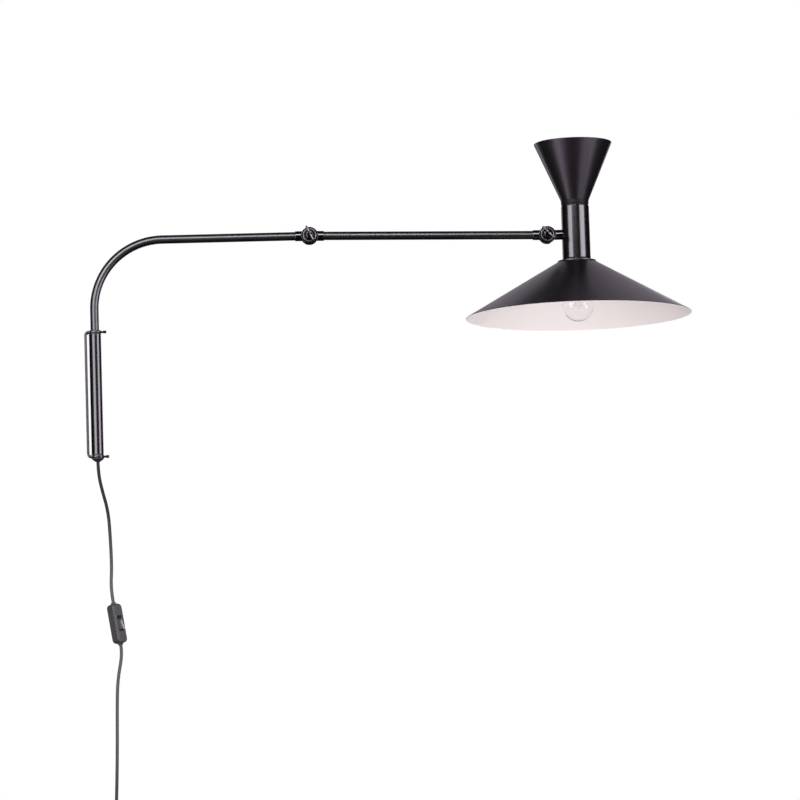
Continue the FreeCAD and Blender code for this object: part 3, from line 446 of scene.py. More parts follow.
def slab(outline, rows, origin, axes, middle=(0.0, 0.0)):
    """Outline drawn in by each row's inset and raised to its height, its faces closed on middle.

    axes gives the directions of the outline's first and second coordinate and of the height:
    point = origin + first * x + second * y + third * height.
    """
    outline = np.asarray(outline, float)
    rows = np.asarray(rows, float)
    flat = outline[None] - rows[:, :1, None] * outward_of(outline)[None]
    ends = np.broadcast_to(np.asarray(middle, float), (1,) + outline.shape)
    flat = np.concatenate([ends, flat, ends])
    height = np.r_[rows[0, 1], rows[:, 1], rows[-1, 1]]
    height = np.broadcast_to(height[:, None, None], flat.shape[:2] + (1,))
    return origin + np.concatenate([flat, height], axis=2) * MM @ np.asarray(axes, float)


# Meshes and pieces

def add_object(name, data):
    item = bpy.data.objects.new(name, data)
    bpy.context.scene.collection.objects.link(item)
    return item


def mesh_of(name, grids, finishes):
    """One mesh from grids of points, its doubled points merged and its faces turned outwards.

    Each grid is (points, whether its last row joins its first, finish number of each row).
    """
    points, faces, numbers = [], [], []
    start = 0
    for grid, loop, finish in grids:
        rows, columns = grid.shape[:2]
        index = start + np.arange(rows * columns).reshape(rows, columns)
        finish = np.broadcast_to(finish, rows)
        if loop:
            index = np.vstack([index, index[:1]])
        else:
            finish = finish[:-1]
        beside = np.roll(index, -1, axis=1)
        corners = [index[:-1], beside[:-1], beside[1:], index[1:]]
        faces.append(np.stack(corners, axis=-1).reshape(-1, 4))
        numbers.append(np.repeat(finish, columns))
        points.append(grid.reshape(-1, 3))
        start += rows * columns
    mesh = bpy.data.meshes.new(name)
    mesh.from_pydata(np.vstack(points).tolist(), [], np.vstack(faces).tolist())
    for finish in finishes:
        mesh.materials.append(finish)
    mesh.polygons.foreach_set("material_index", np.concatenate(numbers).astype(np.int32))
    work = bmesh.new()
    work.from_mesh(mesh)
    bmesh.ops.remove_doubles(work, verts=work.verts, dist=1e-7)
    bmesh.ops.dissolve_degenerate(work, edges=work.edges, dist=1e-8)
    bmesh.ops.recalc_face_normals(work, faces=work.faces)
    work.to_mesh(mesh)
    work.free()
    return mesh


def carved(mesh, tools):
    """The mesh less the closed grids in tools."""
    item = add_object("Blank", mesh)
    tool = add_object("Tool", mesh_of("Tool", [(grid, False, 0) for grid in tools], []))
    cut = item.modifiers.new("Carve", "BOOLEAN")
    cut.operation = "DIFFERENCE"
    cut.solver = "EXACT"
    cut.object = tool
    done = item.evaluated_get(bpy.context.evaluated_depsgraph_get())
    result = bpy.data.meshes.new_from_object(done)
    for thing in (item, tool):
        bpy.data.objects.remove(thing)
    return result


def enter(item, body, replaces):
    """Put an item on its body, in place of its CAD nodes."""
    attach(item, body)
    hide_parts(*replaces)


def piece(name, grids, body, slot, replaces, finishes=None, sharp=32.0, tools=(), extra=None):
    """A finished piece: its mesh, carved by tools and joined with an extra mesh.

    It is smooth but for edges sharper than so many degrees. finishes stand in for its slot's own.
    """
    mesh = mesh_of(name, grids, finishes or [FINISHES[slot]])
    if len(tools):
        mesh = carved(mesh, tools)
    if extra:
        both = bmesh.new()
        both.from_mesh(mesh)
        both.from_mesh(extra)
        both.to_mesh(mesh)
        both.free()
    mesh.polygons.foreach_set("use_smooth", np.ones(len(mesh.polygons), bool))
    mesh.set_sharp_from_angle(angle=math.radians(sharp))
    item = add_object(name, mesh)
    normals = item.modifiers.new("Even normals", "WEIGHTED_NORMAL")
    normals.keep_sharp = True
    enter(item, body, replaces)
    return item


def screw_slot(place, axes, floor, top):
    """Tool for a screwdriver slot across a head, from the slot's floor to above the head."""
    return slab(oblong(3.0, 0.35), [(0.0, floor), (0.0, top)], place, axes)


# Camera at the photograph's place: a long lens a little below the lamp, looking slightly up

CAMERA_PLACE = (0.16706, -6.19987, -0.71480)
CAMERA_YAW, CAMERA_PITCH, CAMERA_ROLL = (math.radians(a) for a in (2.545, 6.3955, -1.781))
CAMERA_LENS = 199.017


def stand(item, across, above, facing, place):
    """Put a camera or a light at place, looking along facing."""
    pose = np.eye(4)
    pose[:3] = np.c_[across, above, -facing, np.array(place)]
    item.matrix_world = Matrix(pose.tolist())


def place_camera():
    """Camera turned by its yaw and pitch, then rolled about the way it looks."""
    level = math.cos(CAMERA_PITCH)
    forward = np.array([
        math.sin(CAMERA_YAW) * level, math.cos(CAMERA_YAW) * level, math.sin(CAMERA_PITCH)])
    right = np.array([math.cos(CAMERA_YAW), -math.sin(CAMERA_YAW), 0.0])
    upward = np.cross(right, forward)
    across = math.cos(CAMERA_ROLL) * right + math.sin(CAMERA_ROLL) * upward
    above = math.cos(CAMERA_ROLL) * upward - math.sin(CAMERA_ROLL) * right
    lens = bpy.data.cameras.new("Camera")
    lens.lens = CAMERA_LENS
    lens.sensor_width = 36.0
    lens.clip_end = 100.0
    camera = add_object("Camera", lens)
    stand(camera, across, above, forward, CAMERA_PLACE)
    bpy.context.scene.camera = camera


# Free cord, its route repeated from the CAD model

CORD_UPPER = np.array([
    (15.0, 0.0, -87.0), (15.0, 0.0, -110.0), (19.5, 0.0, -134.0), (28.0, 0.0, -166.0),
    (30.0, 0.0, -205.0), (31.0, 0.0, -245.0), (28.9, 0.0, -274.1), (31.9, 0.0, -293.95),
])
CORD_LOWER = np.array([
    (41.0, 0.0, -353.95), (42.9, 0.0, -366.4), (35.6, 0.0, -402.0), (34.0, 0.0, -437.0),
    (33.0, 0.0, -487.0), (31.5, 4.0, -533.0), (29.4, 22.0, -570.0), (28.45, 36.45, -594.0),
    (28.45, 36.45, -616.5),
])
CORD_DIAMETER = 4.6
COIL_CENTRE = np.array([28.45, 0.0, -621.1])
COIL_TURNS = 7
COIL_INNER = 18.6
COIL_PITCH = 5.1
COIL_OUTER = COIL_INNER + COIL_PITCH * COIL_TURNS / 2
PLUG_START = np.array([33.55, 36.45, -633.1])


def coil_points():
    """Seven turns, spiralling in on one layer and out on the next.

    radius = inner + pitch * turns from the middle turn, where the cord climbs to the next layer.
    """
    turns = np.linspace(0.0, COIL_TURNS, COIL_TURNS * 24 + 1)
    middle = COIL_TURNS / 2
    radius = COIL_INNER + COIL_PITCH * np.abs(turns - middle)
    climb = np.clip((turns - middle) * 2 + 0.5, 0.0, 1.0)
    layer = COIL_PITCH * climb ** 2 * (3 - 2 * climb)
    angle = 2 * math.pi * turns
    return COIL_CENTRE + np.c_[layer, radius * np.cos(angle), -radius * np.sin(angle)]


def free_cord(name, points, replaces):
    """Round cord along a smooth curve drawn by its guide points."""
    curve = bpy.data.curves.new(name, "CURVE")
    curve.dimensions = "3D"
    curve.bevel_depth = CORD_DIAMETER / 2 * MM
    curve.bevel_resolution = 6
    curve.resolution_u = 10
    curve.use_fill_caps = True
    spline = curve.splines.new("NURBS")
    spline.points.add(len(points) - 1)
    spline.points.foreach_set("co", np.c_[points * MM, np.ones(len(points))].ravel())
    spline.order_u = 3
    spline.use_endpoint_u = True
    curve.materials.append(FINISHES["cord_sheath"])
    item = add_object(name, curve)
    enter(item, "wall_side", replaces)
    return item


def cords():
    """The cord down to the switch, and on from it to a coil and a plug."""
    route = np.vstack([CORD_LOWER, coil_points(), PLUG_START])
    upper = free_cord("cord_to_switch", CORD_UPPER, ["cord_upper"])
    lower = free_cord("cord_to_plug", route, ["cord_lower", "cord_coil"])
    inline_switch()
    plug() + [coil_tie()]


# Switch, coil tie and plug on the cord

SWITCH_LEAN, SWITCH_TWIST, ROCKER_THROW = (math.radians(a) for a in (-8.6, 45.0, -8.0))
SWITCH_CENTRE = (CORD_UPPER[-1] + CORD_LOWER[0]) / 2 * MM
SWITCH_WIDTH = np.array([
    math.cos(SWITCH_TWIST) * math.cos(SWITCH_LEAN),
    math.sin(SWITCH_TWIST),
    -math.cos(SWITCH_TWIST) * math.sin(SWITCH_LEAN),
])
SWITCH_LENGTH = np.array([math.sin(SWITCH_LEAN), 0.0, math.cos(SWITCH_LEAN)])
SWITCH_REAR = np.cross(SWITCH_LENGTH, SWITCH_WIDTH)
SWITCH_SCREW_PLACES = [SWITCH_CENTRE + SWITCH_LENGTH * spot * MM for spot in (20.0, -20.0)]


def switch_shells():
    """Two half shells: a soft oblong drawn in to a fine seam at one face, rounded at the other."""
    to_front = [SWITCH_WIDTH, SWITCH_LENGTH, -SWITCH_REAR]
    to_rear = [SWITCH_WIDTH, SWITCH_LENGTH, SWITCH_REAR]
    outline = rounded(oblong(9.0, 27.7), 7.0, 12)
    seam = [(0.45, 0.0), (0.12, 0.12), (0.0, 0.45)]
    steps = 8
    rows = np.r_[seam, eased(0.0, 7.0, 2.4, steps)[steps:]]
    well = slab(oblong(4.35, 10.7), [(0.0, 0.55), (0.0, 9.0)], SWITCH_CENTRE, to_front)
    front = slab(outline, rows, SWITCH_CENTRE, to_front)
    front = piece("switch_front_shell", [(front, False, 0)], "wall_side", "switch_plastic",
                  ["switch_front"], tools=[well])
    seat = hoop(0.0, 2.55, 4.0, 9.0)
    seats = [turned(seat, place, SWITCH_REAR, 32) for place in SWITCH_SCREW_PLACES]
    back = slab(outline, rows, SWITCH_CENTRE, to_rear)
    back = piece("switch_back_shell", [(back, False, 0)], "wall_side", "switch_plastic",
                 ["switch_back"], tools=seats)
    return [front, back]


def switch_screws():
    """Two slotted screws, turned about the switch's depth, that hold the shells together."""
    corners = [(0.0, 0.0), (1.5, 0.0), (1.5, 4.0), (2.5, 4.0), (2.5, 6.9), (0.0, 6.9)]
    profile = rounded(corners, [0, 0.2, 0, 0.1, 0.4, 0])
    axes = [SWITCH_WIDTH, SWITCH_LENGTH, SWITCH_REAR]
    screws = [(turned(profile, place, SWITCH_REAR, 40), False, 0) for place in SWITCH_SCREW_PLACES]
    slots = [screw_slot(place, axes, 6.1, 8.0) for place in SWITCH_SCREW_PLACES]
    return piece("switch_back_screws", screws, "wall_side", "plain_steel", ["switch_screws"],
                 tools=slots)


def switch_nubs():
    """Ribbed nubs where the cord goes in and out: a taper less a ripple of one millimetre."""
    height = np.linspace(27.2, 30.3, 40)
    radius = np.interp(height, [27.2, 27.9, 30.3], [4.7, 4.5, 3.1]) - ripple(height, 1.0, 0.25)
    profile = np.c_[radius, height]
    nubs = [(capped(turned(profile, SWITCH_CENTRE, SWITCH_LENGTH * way, 64)), False, 0)
            for way in (1, -1)]
    return piece("switch_nubs", nubs, "wall_side", "cord_sheath", ["switch_cord_nubs"])


def rocker():
    """Rocker with a hollow face, thrown to one side: its outline given a width. Its upper part is painted dark as
    the shade of the well, and one edge of its lower half is painted pale as a highlight.
    """
    depth_way = math.cos(ROCKER_THROW) * SWITCH_REAR + math.sin(ROCKER_THROW) * SWITCH_LENGTH
    length_way = math.cos(ROCKER_THROW) * SWITCH_LENGTH - math.sin(ROCKER_THROW) * SWITCH_REAR
    axle = SWITCH_CENTRE - SWITCH_REAR * 4.5 * MM
    corners = [(-2.5, 0.0), (-3.85, -9.5), (1.9, -8.7), (1.9, 8.7), (-3.85, 9.5)]
    outline = rounded(corners, [6.0, 0.7, 0.5, 0.5, 0.7], 10)[::-1]
    # Rows from here on take the painted highlight on one edge.
    highlight_start = (0.0, 1.2)
    rows = np.insert(eased(-4.0, 4.0, 0.5), CORNER_STEPS, highlight_start, axis=0)
    edge = np.repeat([0, 1], [CORNER_STEPS + 1, CORNER_STEPS + 2])
    cap = slab(outline, rows, axle, [depth_way, length_way, SWITCH_WIDTH])
    return piece("rocker_cap", [(cap, False, edge)], "rocker", "rocker_plastic",
                 ["switch_rocker"], [FINISHES["rocker_plastic"], ROCKER_PAINTED_HIGHLIGHT])


def inline_switch():
    """All pieces of the switch, which hang on the cord."""
    return switch_shells() + [switch_screws(), switch_nubs(), rocker()]


def coil_tie():
    """Flat strap round the turns: a small flat section carried round an oblong loop."""
    middle = COIL_CENTRE + np.array([COIL_PITCH / 2, (COIL_INNER + COIL_OUTER) / 2, 0.0])
    clear = CORD_DIAMETER / 2 + 0.9
    loop = rounded(oblong(COIL_PITCH / 2 + clear, (COIL_OUTER - COIL_INNER) / 2 + clear), 4.6, 10)
    section = rounded(oblong(0.6, 3.5), 0.35, 5)
    flat = loop[:, None] + section[None, :, :1] * outward_of(loop)[:, None]
    height = np.broadcast_to(section[None, :, 1:], flat.shape[:2] + (1,))
    grid = (middle + np.concatenate([flat, height], axis=2)) * MM
    return piece("tie_strap", [(grid, True, 0)], "wall_side", "tie_plastic", ["coil_tie"])


def plug():
    """Flat two-pin plug with soft edges, hanging from the coil on a ribbed sleeve."""
    start = PLUG_START * MM
    height = np.linspace(0.0, 16.6, 140)
    ribs = np.where(height < 15.0, ripple(height, 2.5, 0.45), 0.0)
    sleeve = turned(np.c_[3.1 + 1.9 * height / 16.0 - ribs, height], start, -UP, 64)
    sleeve = piece("plug_bend_sleeve", [(capped(sleeve), False, 0)], "wall_side", "cord_sheath",
                   ["plug_sleeve"])
    corners = [(-7.0, 16.0), (7.0, 16.0), (17.5, 33.0), (17.5, 50.0), (-17.5, 50.0), (-17.5, 33.0)]
    outline = rounded(corners, [2.5, 2.5, 7.0, 3.0, 3.0, 7.0], 10)
    body = slab(outline, eased(-6.8, 6.8, 2.6, steps=8), start, [OUT, -UP, FRONT], (0.0, 38.0))
    body = piece("plug_shell", [(body, False, 0)], "wall_side", "switch_plastic", ["plug_body"])
    pin = rounded(hoop(0.0, 2.0, 49.5, 69.0), [0.0, 0.0, 1.4, 0.0], 8)
    pins = [(turned(pin, start + OUT * aside * MM, -UP, 48), False, 0) for aside in (9.5, -9.5)]
    pins = piece("plug_pin_pair", pins, "wall_side", "pin_metal", ["plug_pins"])
    return [sleeve, body, pins]


# Bracket side and arms

STRIP_THICKNESS = 3.4
STRIP_WIDTH = 14.0
STRIP_BEND = 4.7
EYE_LOW, EYE_LEVEL, EYE_HIGH = 86.6, 88.3, 90.0
EYE_BORE = 7.0
WALL_HOLE_LEVELS = (62.0, -62.0)
SLEEVE_END = 85.1
FLANGE_RADIUS = 8.5
BUSH_BORE, BUSH_RADIUS, BUSH_END = 6.05, 6.95, 71.1
CORD_HOLE = 2.35
LOWER_BUSH_FOOT = -92.4
TUBE_RADIUS, TUBE_BORE = 6.0, 5.0
TUBE_SETBACK = 13.0
ARM_BEND = 98.0


def bracket():
    """Flat bar with rolled edges, bent twice, with a round eye at each end and two wall holes.

    The bar is its section carried along a path of two quarter bends; the eyes are turned.
    """
    turn = np.linspace(0.0, math.pi / 2, 13)
    bend = np.c_[
        STRIP_THICKNESS / 2 + STRIP_BEND * (1 - np.sin(turn)),
        0 * turn,
        EYE_LEVEL - STRIP_BEND * (1 - np.cos(turn)),
    ]
    half = np.vstack([[8.0, 0.0, EYE_LEVEL], bend])
    path = np.vstack([half, half[::-1] * [1, 1, -1]]) * MM
    section = rounded(oblong(STRIP_WIDTH / 2, STRIP_THICKNESS / 2), 0.7, 7)
    bar = capped(pipe(path, np.broadcast_to(FRONT, path.shape), section))
    hole = [(0.0, -2.0), (2.4, -2.0), (2.4, 2.4), (3.9, 3.9), (3.9, 8.0), (0.0, 8.0)]
    holes = [turned(hole, UP * level * MM, OUT, 48) for level in WALL_HOLE_LEVELS]
    bar = carved(mesh_of("bar", [(bar, False, 0)], [FINISHES["black_steel"]]), holes)
    eyes = []
    for low, high in ((EYE_LOW, EYE_HIGH), (-EYE_HIGH, -EYE_LOW)):
        ring = rounded(hoop(EYE_BORE, 10.0, low, high), [0.2, 1.2, 1.2, 0.2])
        eyes.append((turned(ring, SWIVEL), True, 0))
    piece("bent_bracket", eyes, "wall_side", "black_steel", ["wall_bracket"], extra=bar)


def eye_screws():
    """Slotted screws through the front of both eyes, turned about the way out from the wall."""
    corners = [(0.0, 7.4), (1.2, 7.4), (1.2, 10.2), (1.7, 10.8), (1.7, 12.4), (2.2, 12.4),
               (1.9, 16.3), (0.0, 16.3)]
    profile = rounded(corners, [0.0, 0.2, 0.0, 0.3, 0.0, 0.3, 1.2, 0.0], 7)
    for place, level in (("upper", EYE_LEVEL), ("lower", -EYE_LEVEL)):
        origin = SWIVEL + UP * level * MM
        slot = screw_slot(origin, [FRONT, UP, OUT], 15.2, 18.0)
        piece(f"{place}_eye_screw", [(turned(profile, origin, OUT, 40), False, 0)], "wall_side",
              "black_steel", [f"{place}_ear_screw"], [DULL_BLACK], tools=[slot])


def swivel():
    """Plain sleeve between two flanged bushes, and the fluted gland that grips the cord below."""
    sleeve = rounded(hoop(EYE_BORE, FLANGE_RADIUS, -SLEEVE_END, SLEEVE_END), 0.4)
    piece("sleeve_tube", [(turned(sleeve, SWIVEL), True, 0)], "wall_side", "black_steel",
          ["swivel_sleeve"], [FINISHES["black_neck"]])
    upper = [
        (BUSH_BORE, BUSH_END), (BUSH_RADIUS, BUSH_END), (BUSH_RADIUS, SLEEVE_END),
        (FLANGE_RADIUS, SLEEVE_END), (FLANGE_RADIUS, EYE_LOW), (BUSH_RADIUS, EYE_LOW),
        (BUSH_RADIUS, 91.2), (BUSH_BORE, 91.2),
    ]
    piece("upper_bush", [(turned(rounded(upper, 0.35), SWIVEL), True, 0)], "wall_side",
          "bush_plastic", ["upper_swivel_bush"])
    lower = [
        (BUSH_BORE, -BUSH_END), (BUSH_BORE, -EYE_LOW), (CORD_HOLE, -EYE_LOW),
        (CORD_HOLE, LOWER_BUSH_FOOT), (BUSH_RADIUS, LOWER_BUSH_FOOT), (BUSH_RADIUS, -EYE_LOW),
        (FLANGE_RADIUS, -EYE_LOW), (FLANGE_RADIUS, -SLEEVE_END), (BUSH_RADIUS, -SLEEVE_END),
        (BUSH_RADIUS, -BUSH_END),
    ]
    piece("lower_bush", [(turned(rounded(lower, 0.35), SWIVEL), True, 0)], "wall_side",
          "bush_plastic", ["lower_swivel_bush"])
    gland = [
        (CORD_HOLE, -95.4), (3.6, -95.4), (FLANGE_RADIUS, -91.6), (FLANGE_RADIUS, -EYE_HIGH),
        (EYE_BORE, -EYE_HIGH), (EYE_BORE, LOWER_BUSH_FOOT), (CORD_HOLE, LOWER_BUSH_FOOT),
    ]
    gland = rounded(gland, [0.3, 0.9, 1.0, 0.2, 0.0, 0.0, 0.0], 8)
    flute = by_corner([0.0, 0.0, 0.35, 0.35, 0.0, 0.0, 0.0], 8)
    piece("gland_nut", [(turned(gland, SWIVEL, UP, 192, 16, flute), True, 0)], "wall_side",
          "black_plastic", ["cord_gland"])


def tube_grid(path):
    """Closed wall of a tube: the outer circle all along the path, then the inner circle back."""
    side = np.broadcast_to(FRONT, path.shape)
    out = pipe(path, side, circle(TUBE_RADIUS))
    back = pipe(path, side, circle(TUBE_BORE))[::-1]
    return np.concatenate([out, back])


def curved_arm():
    """Straight up the swivel, a quarter bend of ARM_BEND, then straight out to the elbow."""
    level, end = ELBOW[2] / MM, ELBOW[0] / MM - TUBE_SETBACK
    turn = np.linspace(0.0, math.pi / 2, 73)
    arc = np.c_[
        SWIVEL_REACH + ARM_BEND * (1 - np.cos(turn)),
        0 * turn,
        level - ARM_BEND * (1 - np.sin(turn)),
    ]
    path = np.vstack([[SWIVEL_REACH, 0.0, -EYE_LOW], arc, [end, 0.0, level]]) * MM
    piece("arm_tube", [(tube_grid(path), True, 0)], "swing_arm", "black_steel",
          ["curved_arm_tube"])


def forearm():
    """Straight tube from the elbow's collar to the head's."""
    path = np.array([ELBOW + ALONG * TUBE_SETBACK * MM, HEAD - ALONG * TUBE_SETBACK * MM])
    piece("outer_arm_tube", [(tube_grid(path), True, 0)], "forearm", "black_steel",
          ["forearm_tube"])


# Pivots

SCREW_RADIUS, SCREW_HOLE = 3.0, 3.05
DISC_GAP, DISC_FACE, DISC_RADIUS = 0.43, 7.6, 12.0
COLLAR_RADIUS, COLLAR_START = 7.1, 6.0
HOLLOW_RADIUS, HOLLOW_DEPTH = 12.4, 14.0
HUB_SEAT = 9.4
# Front plane and height that bound the painted highlight on the wing blades.
HIGHLIGHT_DEPTH, HIGHLIGHT_RISE = 30.0, 6.6


def knuckle(name, pivot, along, side, reach, body, replaces):
    """Half of a pivot: a thick turned disc, and a collar hollowed where the other half turns."""
    axis = np.array([0.0, side, 0.0])
    disc = rounded(hoop(SCREW_HOLE, DISC_RADIUS, DISC_GAP, DISC_FACE), [0.2, 0.4, 0.5, 0.4])
    collar = rounded(hoop(0.0, COLLAR_RADIUS, COLLAR_START, reach), [0.0, 0.0, 0.9, 0.0])
    hollow = hoop(0.0, HOLLOW_RADIUS, -DISC_GAP, HOLLOW_DEPTH)
    collar = mesh_of(name, [(turned(collar, pivot, along, 96), False, 0)], [FITTING_BLACK])
    collar = carved(collar, [turned(hollow, pivot, -axis, 128)])
    piece(name, [(turned(disc, pivot, axis, 128), True, 0)], body, "black_steel", replaces,
          [FITTING_BLACK], extra=collar)


def dished_washer(place, at, body):
    """Washer turned with a raised rim, the rim given bright metal: a painted highlight, partly wear."""
    corners = [
        (SCREW_HOLE, DISC_FACE), (9.5, DISC_FACE), (9.5, 9.5), (8.2, 9.5), (7.4, 8.5), (4.9, 8.5),
        (4.7, HUB_SEAT), (SCREW_HOLE, HUB_SEAT),
    ]
    profile = rounded(corners, [0.1, 0.3, 0.65, 0.65, 0.4, 0.3, 0.2, 0.1])
    highlit_rim = by_corner([0, 0, 1, 1, 0, 0, 0, 0])
    piece(f"{place}_dished_washer", [(turned(profile, at, FRONT, 128), True, highlit_rim)], body,
          "black_steel", [f"{place}_cup_washer"], [FITTING_BLACK, RIM_HIGHLIGHT_METAL])


def wing_screw(place, at, screw_angle, body):
    """Wing screw: a turned shank and hub, and a two-lobed blade given a thickness."""
    hub = [(0.0, -DISC_FACE), (SCREW_RADIUS, -DISC_FACE), (SCREW_RADIUS, HUB_SEAT),
           (4.8, HUB_SEAT), (4.2, 13.5), (4.8, 18.4), (0.0, 18.4)]
    hub = rounded(hub, [0.0, 0.8, 0.0, 0.4, 3.0, 1.3, 0.0], 8)
    blade = [(-3.5, 15.2), (3.5, 15.2), (12.0, 22.0), (12.0, 30.8), (3.0, 30.8), (0.0, 29.0),
             (-3.0, 30.8), (-12.0, 30.8), (-12.0, 22.0)]
    blade = rounded(blade, [0.5, 0.5, 4.0, 3.6, 2.0, 2.4, 2.0, 3.6, 4.0], 10)
    angle = math.radians(screw_angle)
    across = np.array([math.cos(angle), 0.0, math.sin(angle)])
    axes = [across, FRONT, np.cross(across, FRONT)]
    grids = [
        (turned(hub, at, FRONT, 96), False, 0),
        (slab(blade, eased(-1.1, 1.1, 0.9), at, axes, (0.0, 24.0)), False, 0),
    ]
    # Painted highlight: bare metal along the blade's front edge, below a height over the pivot.
    highlight_finish = front_painted_highlight(f"{place}_wing_painted_highlight", -HIGHLIGHT_DEPTH * MM, at[2] + HIGHLIGHT_RISE * MM)
    piece(f"{place}_wing_grip", grids, body, "black_steel", [f"{place}_wing_screw"], [highlight_finish])


def pivots():
    """Both pivots: each has a half behind, a half in front, a dished washer and a wing screw."""
    rear, front = 1, -1
    tube_reach, neck_reach = 20.5, 22.6
    knuckle("elbow_rear_half", ELBOW, -OUT, rear, tube_reach, "swing_arm",
            ["elbow_rear_knuckle"])
    knuckle("elbow_front_half", ELBOW, ALONG, front, tube_reach, "forearm",
            ["elbow_front_knuckle"])
    knuckle("head_rear_half", HEAD, -ALONG, rear, tube_reach, "forearm", ["head_rear_knuckle"])
    knuckle("head_front_half", HEAD, OUT, front, neck_reach, "lamp_head", ["head_front_knuckle"])
    dished_washer("elbow", ELBOW, "forearm")
    wing_screw("elbow", ELBOW, 116.0, "elbow_screw")
    dished_washer("head", HEAD, "lamp_head")
    wing_screw("head", HEAD, 134.0, "head_screw")


# Lamp head

NECK_RADIUS, NECK_BORE = 20.0, 18.5
NECK_FOOT, NECK_TOP = -38.0, 40.0
CONE_SEAT = 43.0
HOLDER_RADIUS, HOLDER_HOLE = 14.0, 14.05
SHEET = 1.2
SHEET_STEPS = 8


def neck():
    """Polished sleeve with a dull foot ring, parted by a fine groove, and the thin spacer on it."""
    corners = [
        (NECK_BORE, NECK_FOOT), (NECK_RADIUS, NECK_FOOT), (NECK_RADIUS, -35.1),
        (NECK_RADIUS - 0.4, -34.9), (NECK_RADIUS, -34.7), (NECK_RADIUS, NECK_TOP),
        (NECK_BORE, NECK_TOP),
    ]
    profile = rounded(corners, [0.5, 0.3, 0.1, 0.1, 0.1, 0.6, 0.5])
    dull = by_corner([1, 1, 1, 0, 0, 0, 0])
    piece("neck_sleeve", [(turned(profile, NECK, columns=160), True, dull)], "lamp_head",
          "black_neck", ["neck_tube"], [FINISHES["black_neck"], DULL_BLACK])
    spacer = rounded(hoop(HOLDER_HOLE, 19.1, NECK_TOP, CONE_SEAT), 0.3)
    piece("spacer", [(turned(spacer, NECK), True, 0)], "lamp_head", "black_sheet",
          ["cone_spacer_ring"], [DULL_BLACK])


def sheet_profile(outer):
    """Closed wall of bent sheet: the outer outline, and the same moved in by its thickness.

    Each inner corner lies along the mitre of its two sides, so that both sides keep the thickness.
    """
    outer = np.asarray(outer, float)
    way = np.diff(outer, axis=0)
    way /= np.linalg.norm(way, axis=1)[:, None]
    normal = np.c_[way[:, 1], -way[:, 0]]
    before = np.vstack([normal[:1], normal])
    after = np.vstack([normal, normal[-1:]])
    mitre = before + after
    mitre /= np.sum(mitre * before, axis=1)[:, None]
    inner = outer + mitre * SHEET
    return np.vstack([outer, inner[::-1]])


def shade():
    """Wide spun shade: raised flat top, straight flare, plain cut rim, black and white inside."""
    outer = [(HOLDER_HOLE, NECK_FOOT), (27.3, NECK_FOOT), (27.3, -39.6), (160.0, -116.2)]
    edges = [0.2, 0.12, 0.5, 0.5, 0.5, 0.4, 0.3, 0.2]
    profile = rounded(sheet_profile(outer), edges, SHEET_STEPS)
    white = by_corner([0, 0, 0, 0, 1, 1, 1, 1], SHEET_STEPS)
    piece("spun_shade", [(turned(profile, NECK, columns=256), True, white)], "lamp_head",
          "black_sheet", ["lower_shade"], [FINISHES["black_sheet"], WHITE_INSIDE], sharp=50.0)


def cone():
    """Small open cone on a short dull collar, white inside."""
    outer = [(55.5, 130.5), (19.7, 48.0), (19.7, CONE_SEAT), (HOLDER_HOLE, CONE_SEAT)]
    edges = [0.5, 0.5, 0.8, 0.2, 0.2, 0.6, 1.0, 0.5]
    profile = rounded(sheet_profile(outer), edges, SHEET_STEPS)
    finish = by_corner([0, 2, 2, 0, 1, 1, 1, 1], SHEET_STEPS)
    piece("open_cone", [(turned(profile, NECK, columns=192), True, finish)], "lamp_head",
          "black_sheet", ["upper_cone"], [FINISHES["black_sheet"], WHITE_INSIDE, DULL_BLACK],
          sharp=50.0)


def lampholder(place, way, seat):
    """Holder with a rolled thread outside, and the fluted ring on it that clamps the shade."""
    low, high, bore = 33.0, 58.0, 6.95
    level = np.linspace(low, high, 126)
    thread = np.c_[HOLDER_RADIUS - ripple(level - low, 2.0, 0.4), level]
    mouth = [(HOLDER_RADIUS, high), (HOLDER_RADIUS, 66.0), (bore, 66.0), (bore, 42.0)]
    mouth = rounded(mouth, [0.0, 1.0, 0.6, 0.0])[CORNER_STEPS:-CORNER_STEPS]
    foot = [(5.05, 42.0), (5.05, 22.0), (10.0, 22.0), (HOLDER_RADIUS, 31.0)]
    profile = np.vstack([foot, thread, mouth, [(bore, 42.0)]])
    piece(f"{place}_holder", [(turned(profile, NECK, UP * way), True, 0)], "lamp_head",
          "holder_plastic", [f"{place}_lampholder"])
    corners = [
        (HOLDER_HOLE, seat), (18.0, seat), (18.0, seat + 2.0), (16.05, seat + 2.0),
        (16.05, seat + 8.0), (HOLDER_HOLE, seat + 8.0),
    ]
    flute = by_corner([0.0, 0.45, 0.45, 0.0, 0.0, 0.0])
    ring = rounded(corners, [0.1, 0.4, 0.5, 0.5, 0.6, 0.2])
    ring = turned(ring, NECK, UP * way, 288, 36, flute)
    piece(f"{place}_ring_nut", [(ring, True, 0)], "lamp_head", "holder_plastic",
          [f"{place}_shade_ring"])


def globe_profile(radius, neck_radius):
    """Half outline of a globe on a neck: a parabola up from the neck, then a circle to the top."""
    start, centre, foot = math.radians(42.0), 102.0, 70.6
    turn = np.linspace(start, math.pi, 72)
    ball = np.c_[radius * np.sin(turn), centre - radius * np.cos(turn)]
    rise = (ball[0, 0] - neck_radius) * math.tan(start)
    bend = np.array([neck_radius, ball[0, 1] - rise])
    t = np.linspace(0.0, 1.0, 20)[:-1, None]
    below = np.array([neck_radius, foot])
    flare = (1 - t) ** 2 * below + 2 * t * (1 - t) * bend + t ** 2 * ball[0]
    outline = np.vstack([flare, ball])
    outline[-1, 0] = 0.0
    return outline


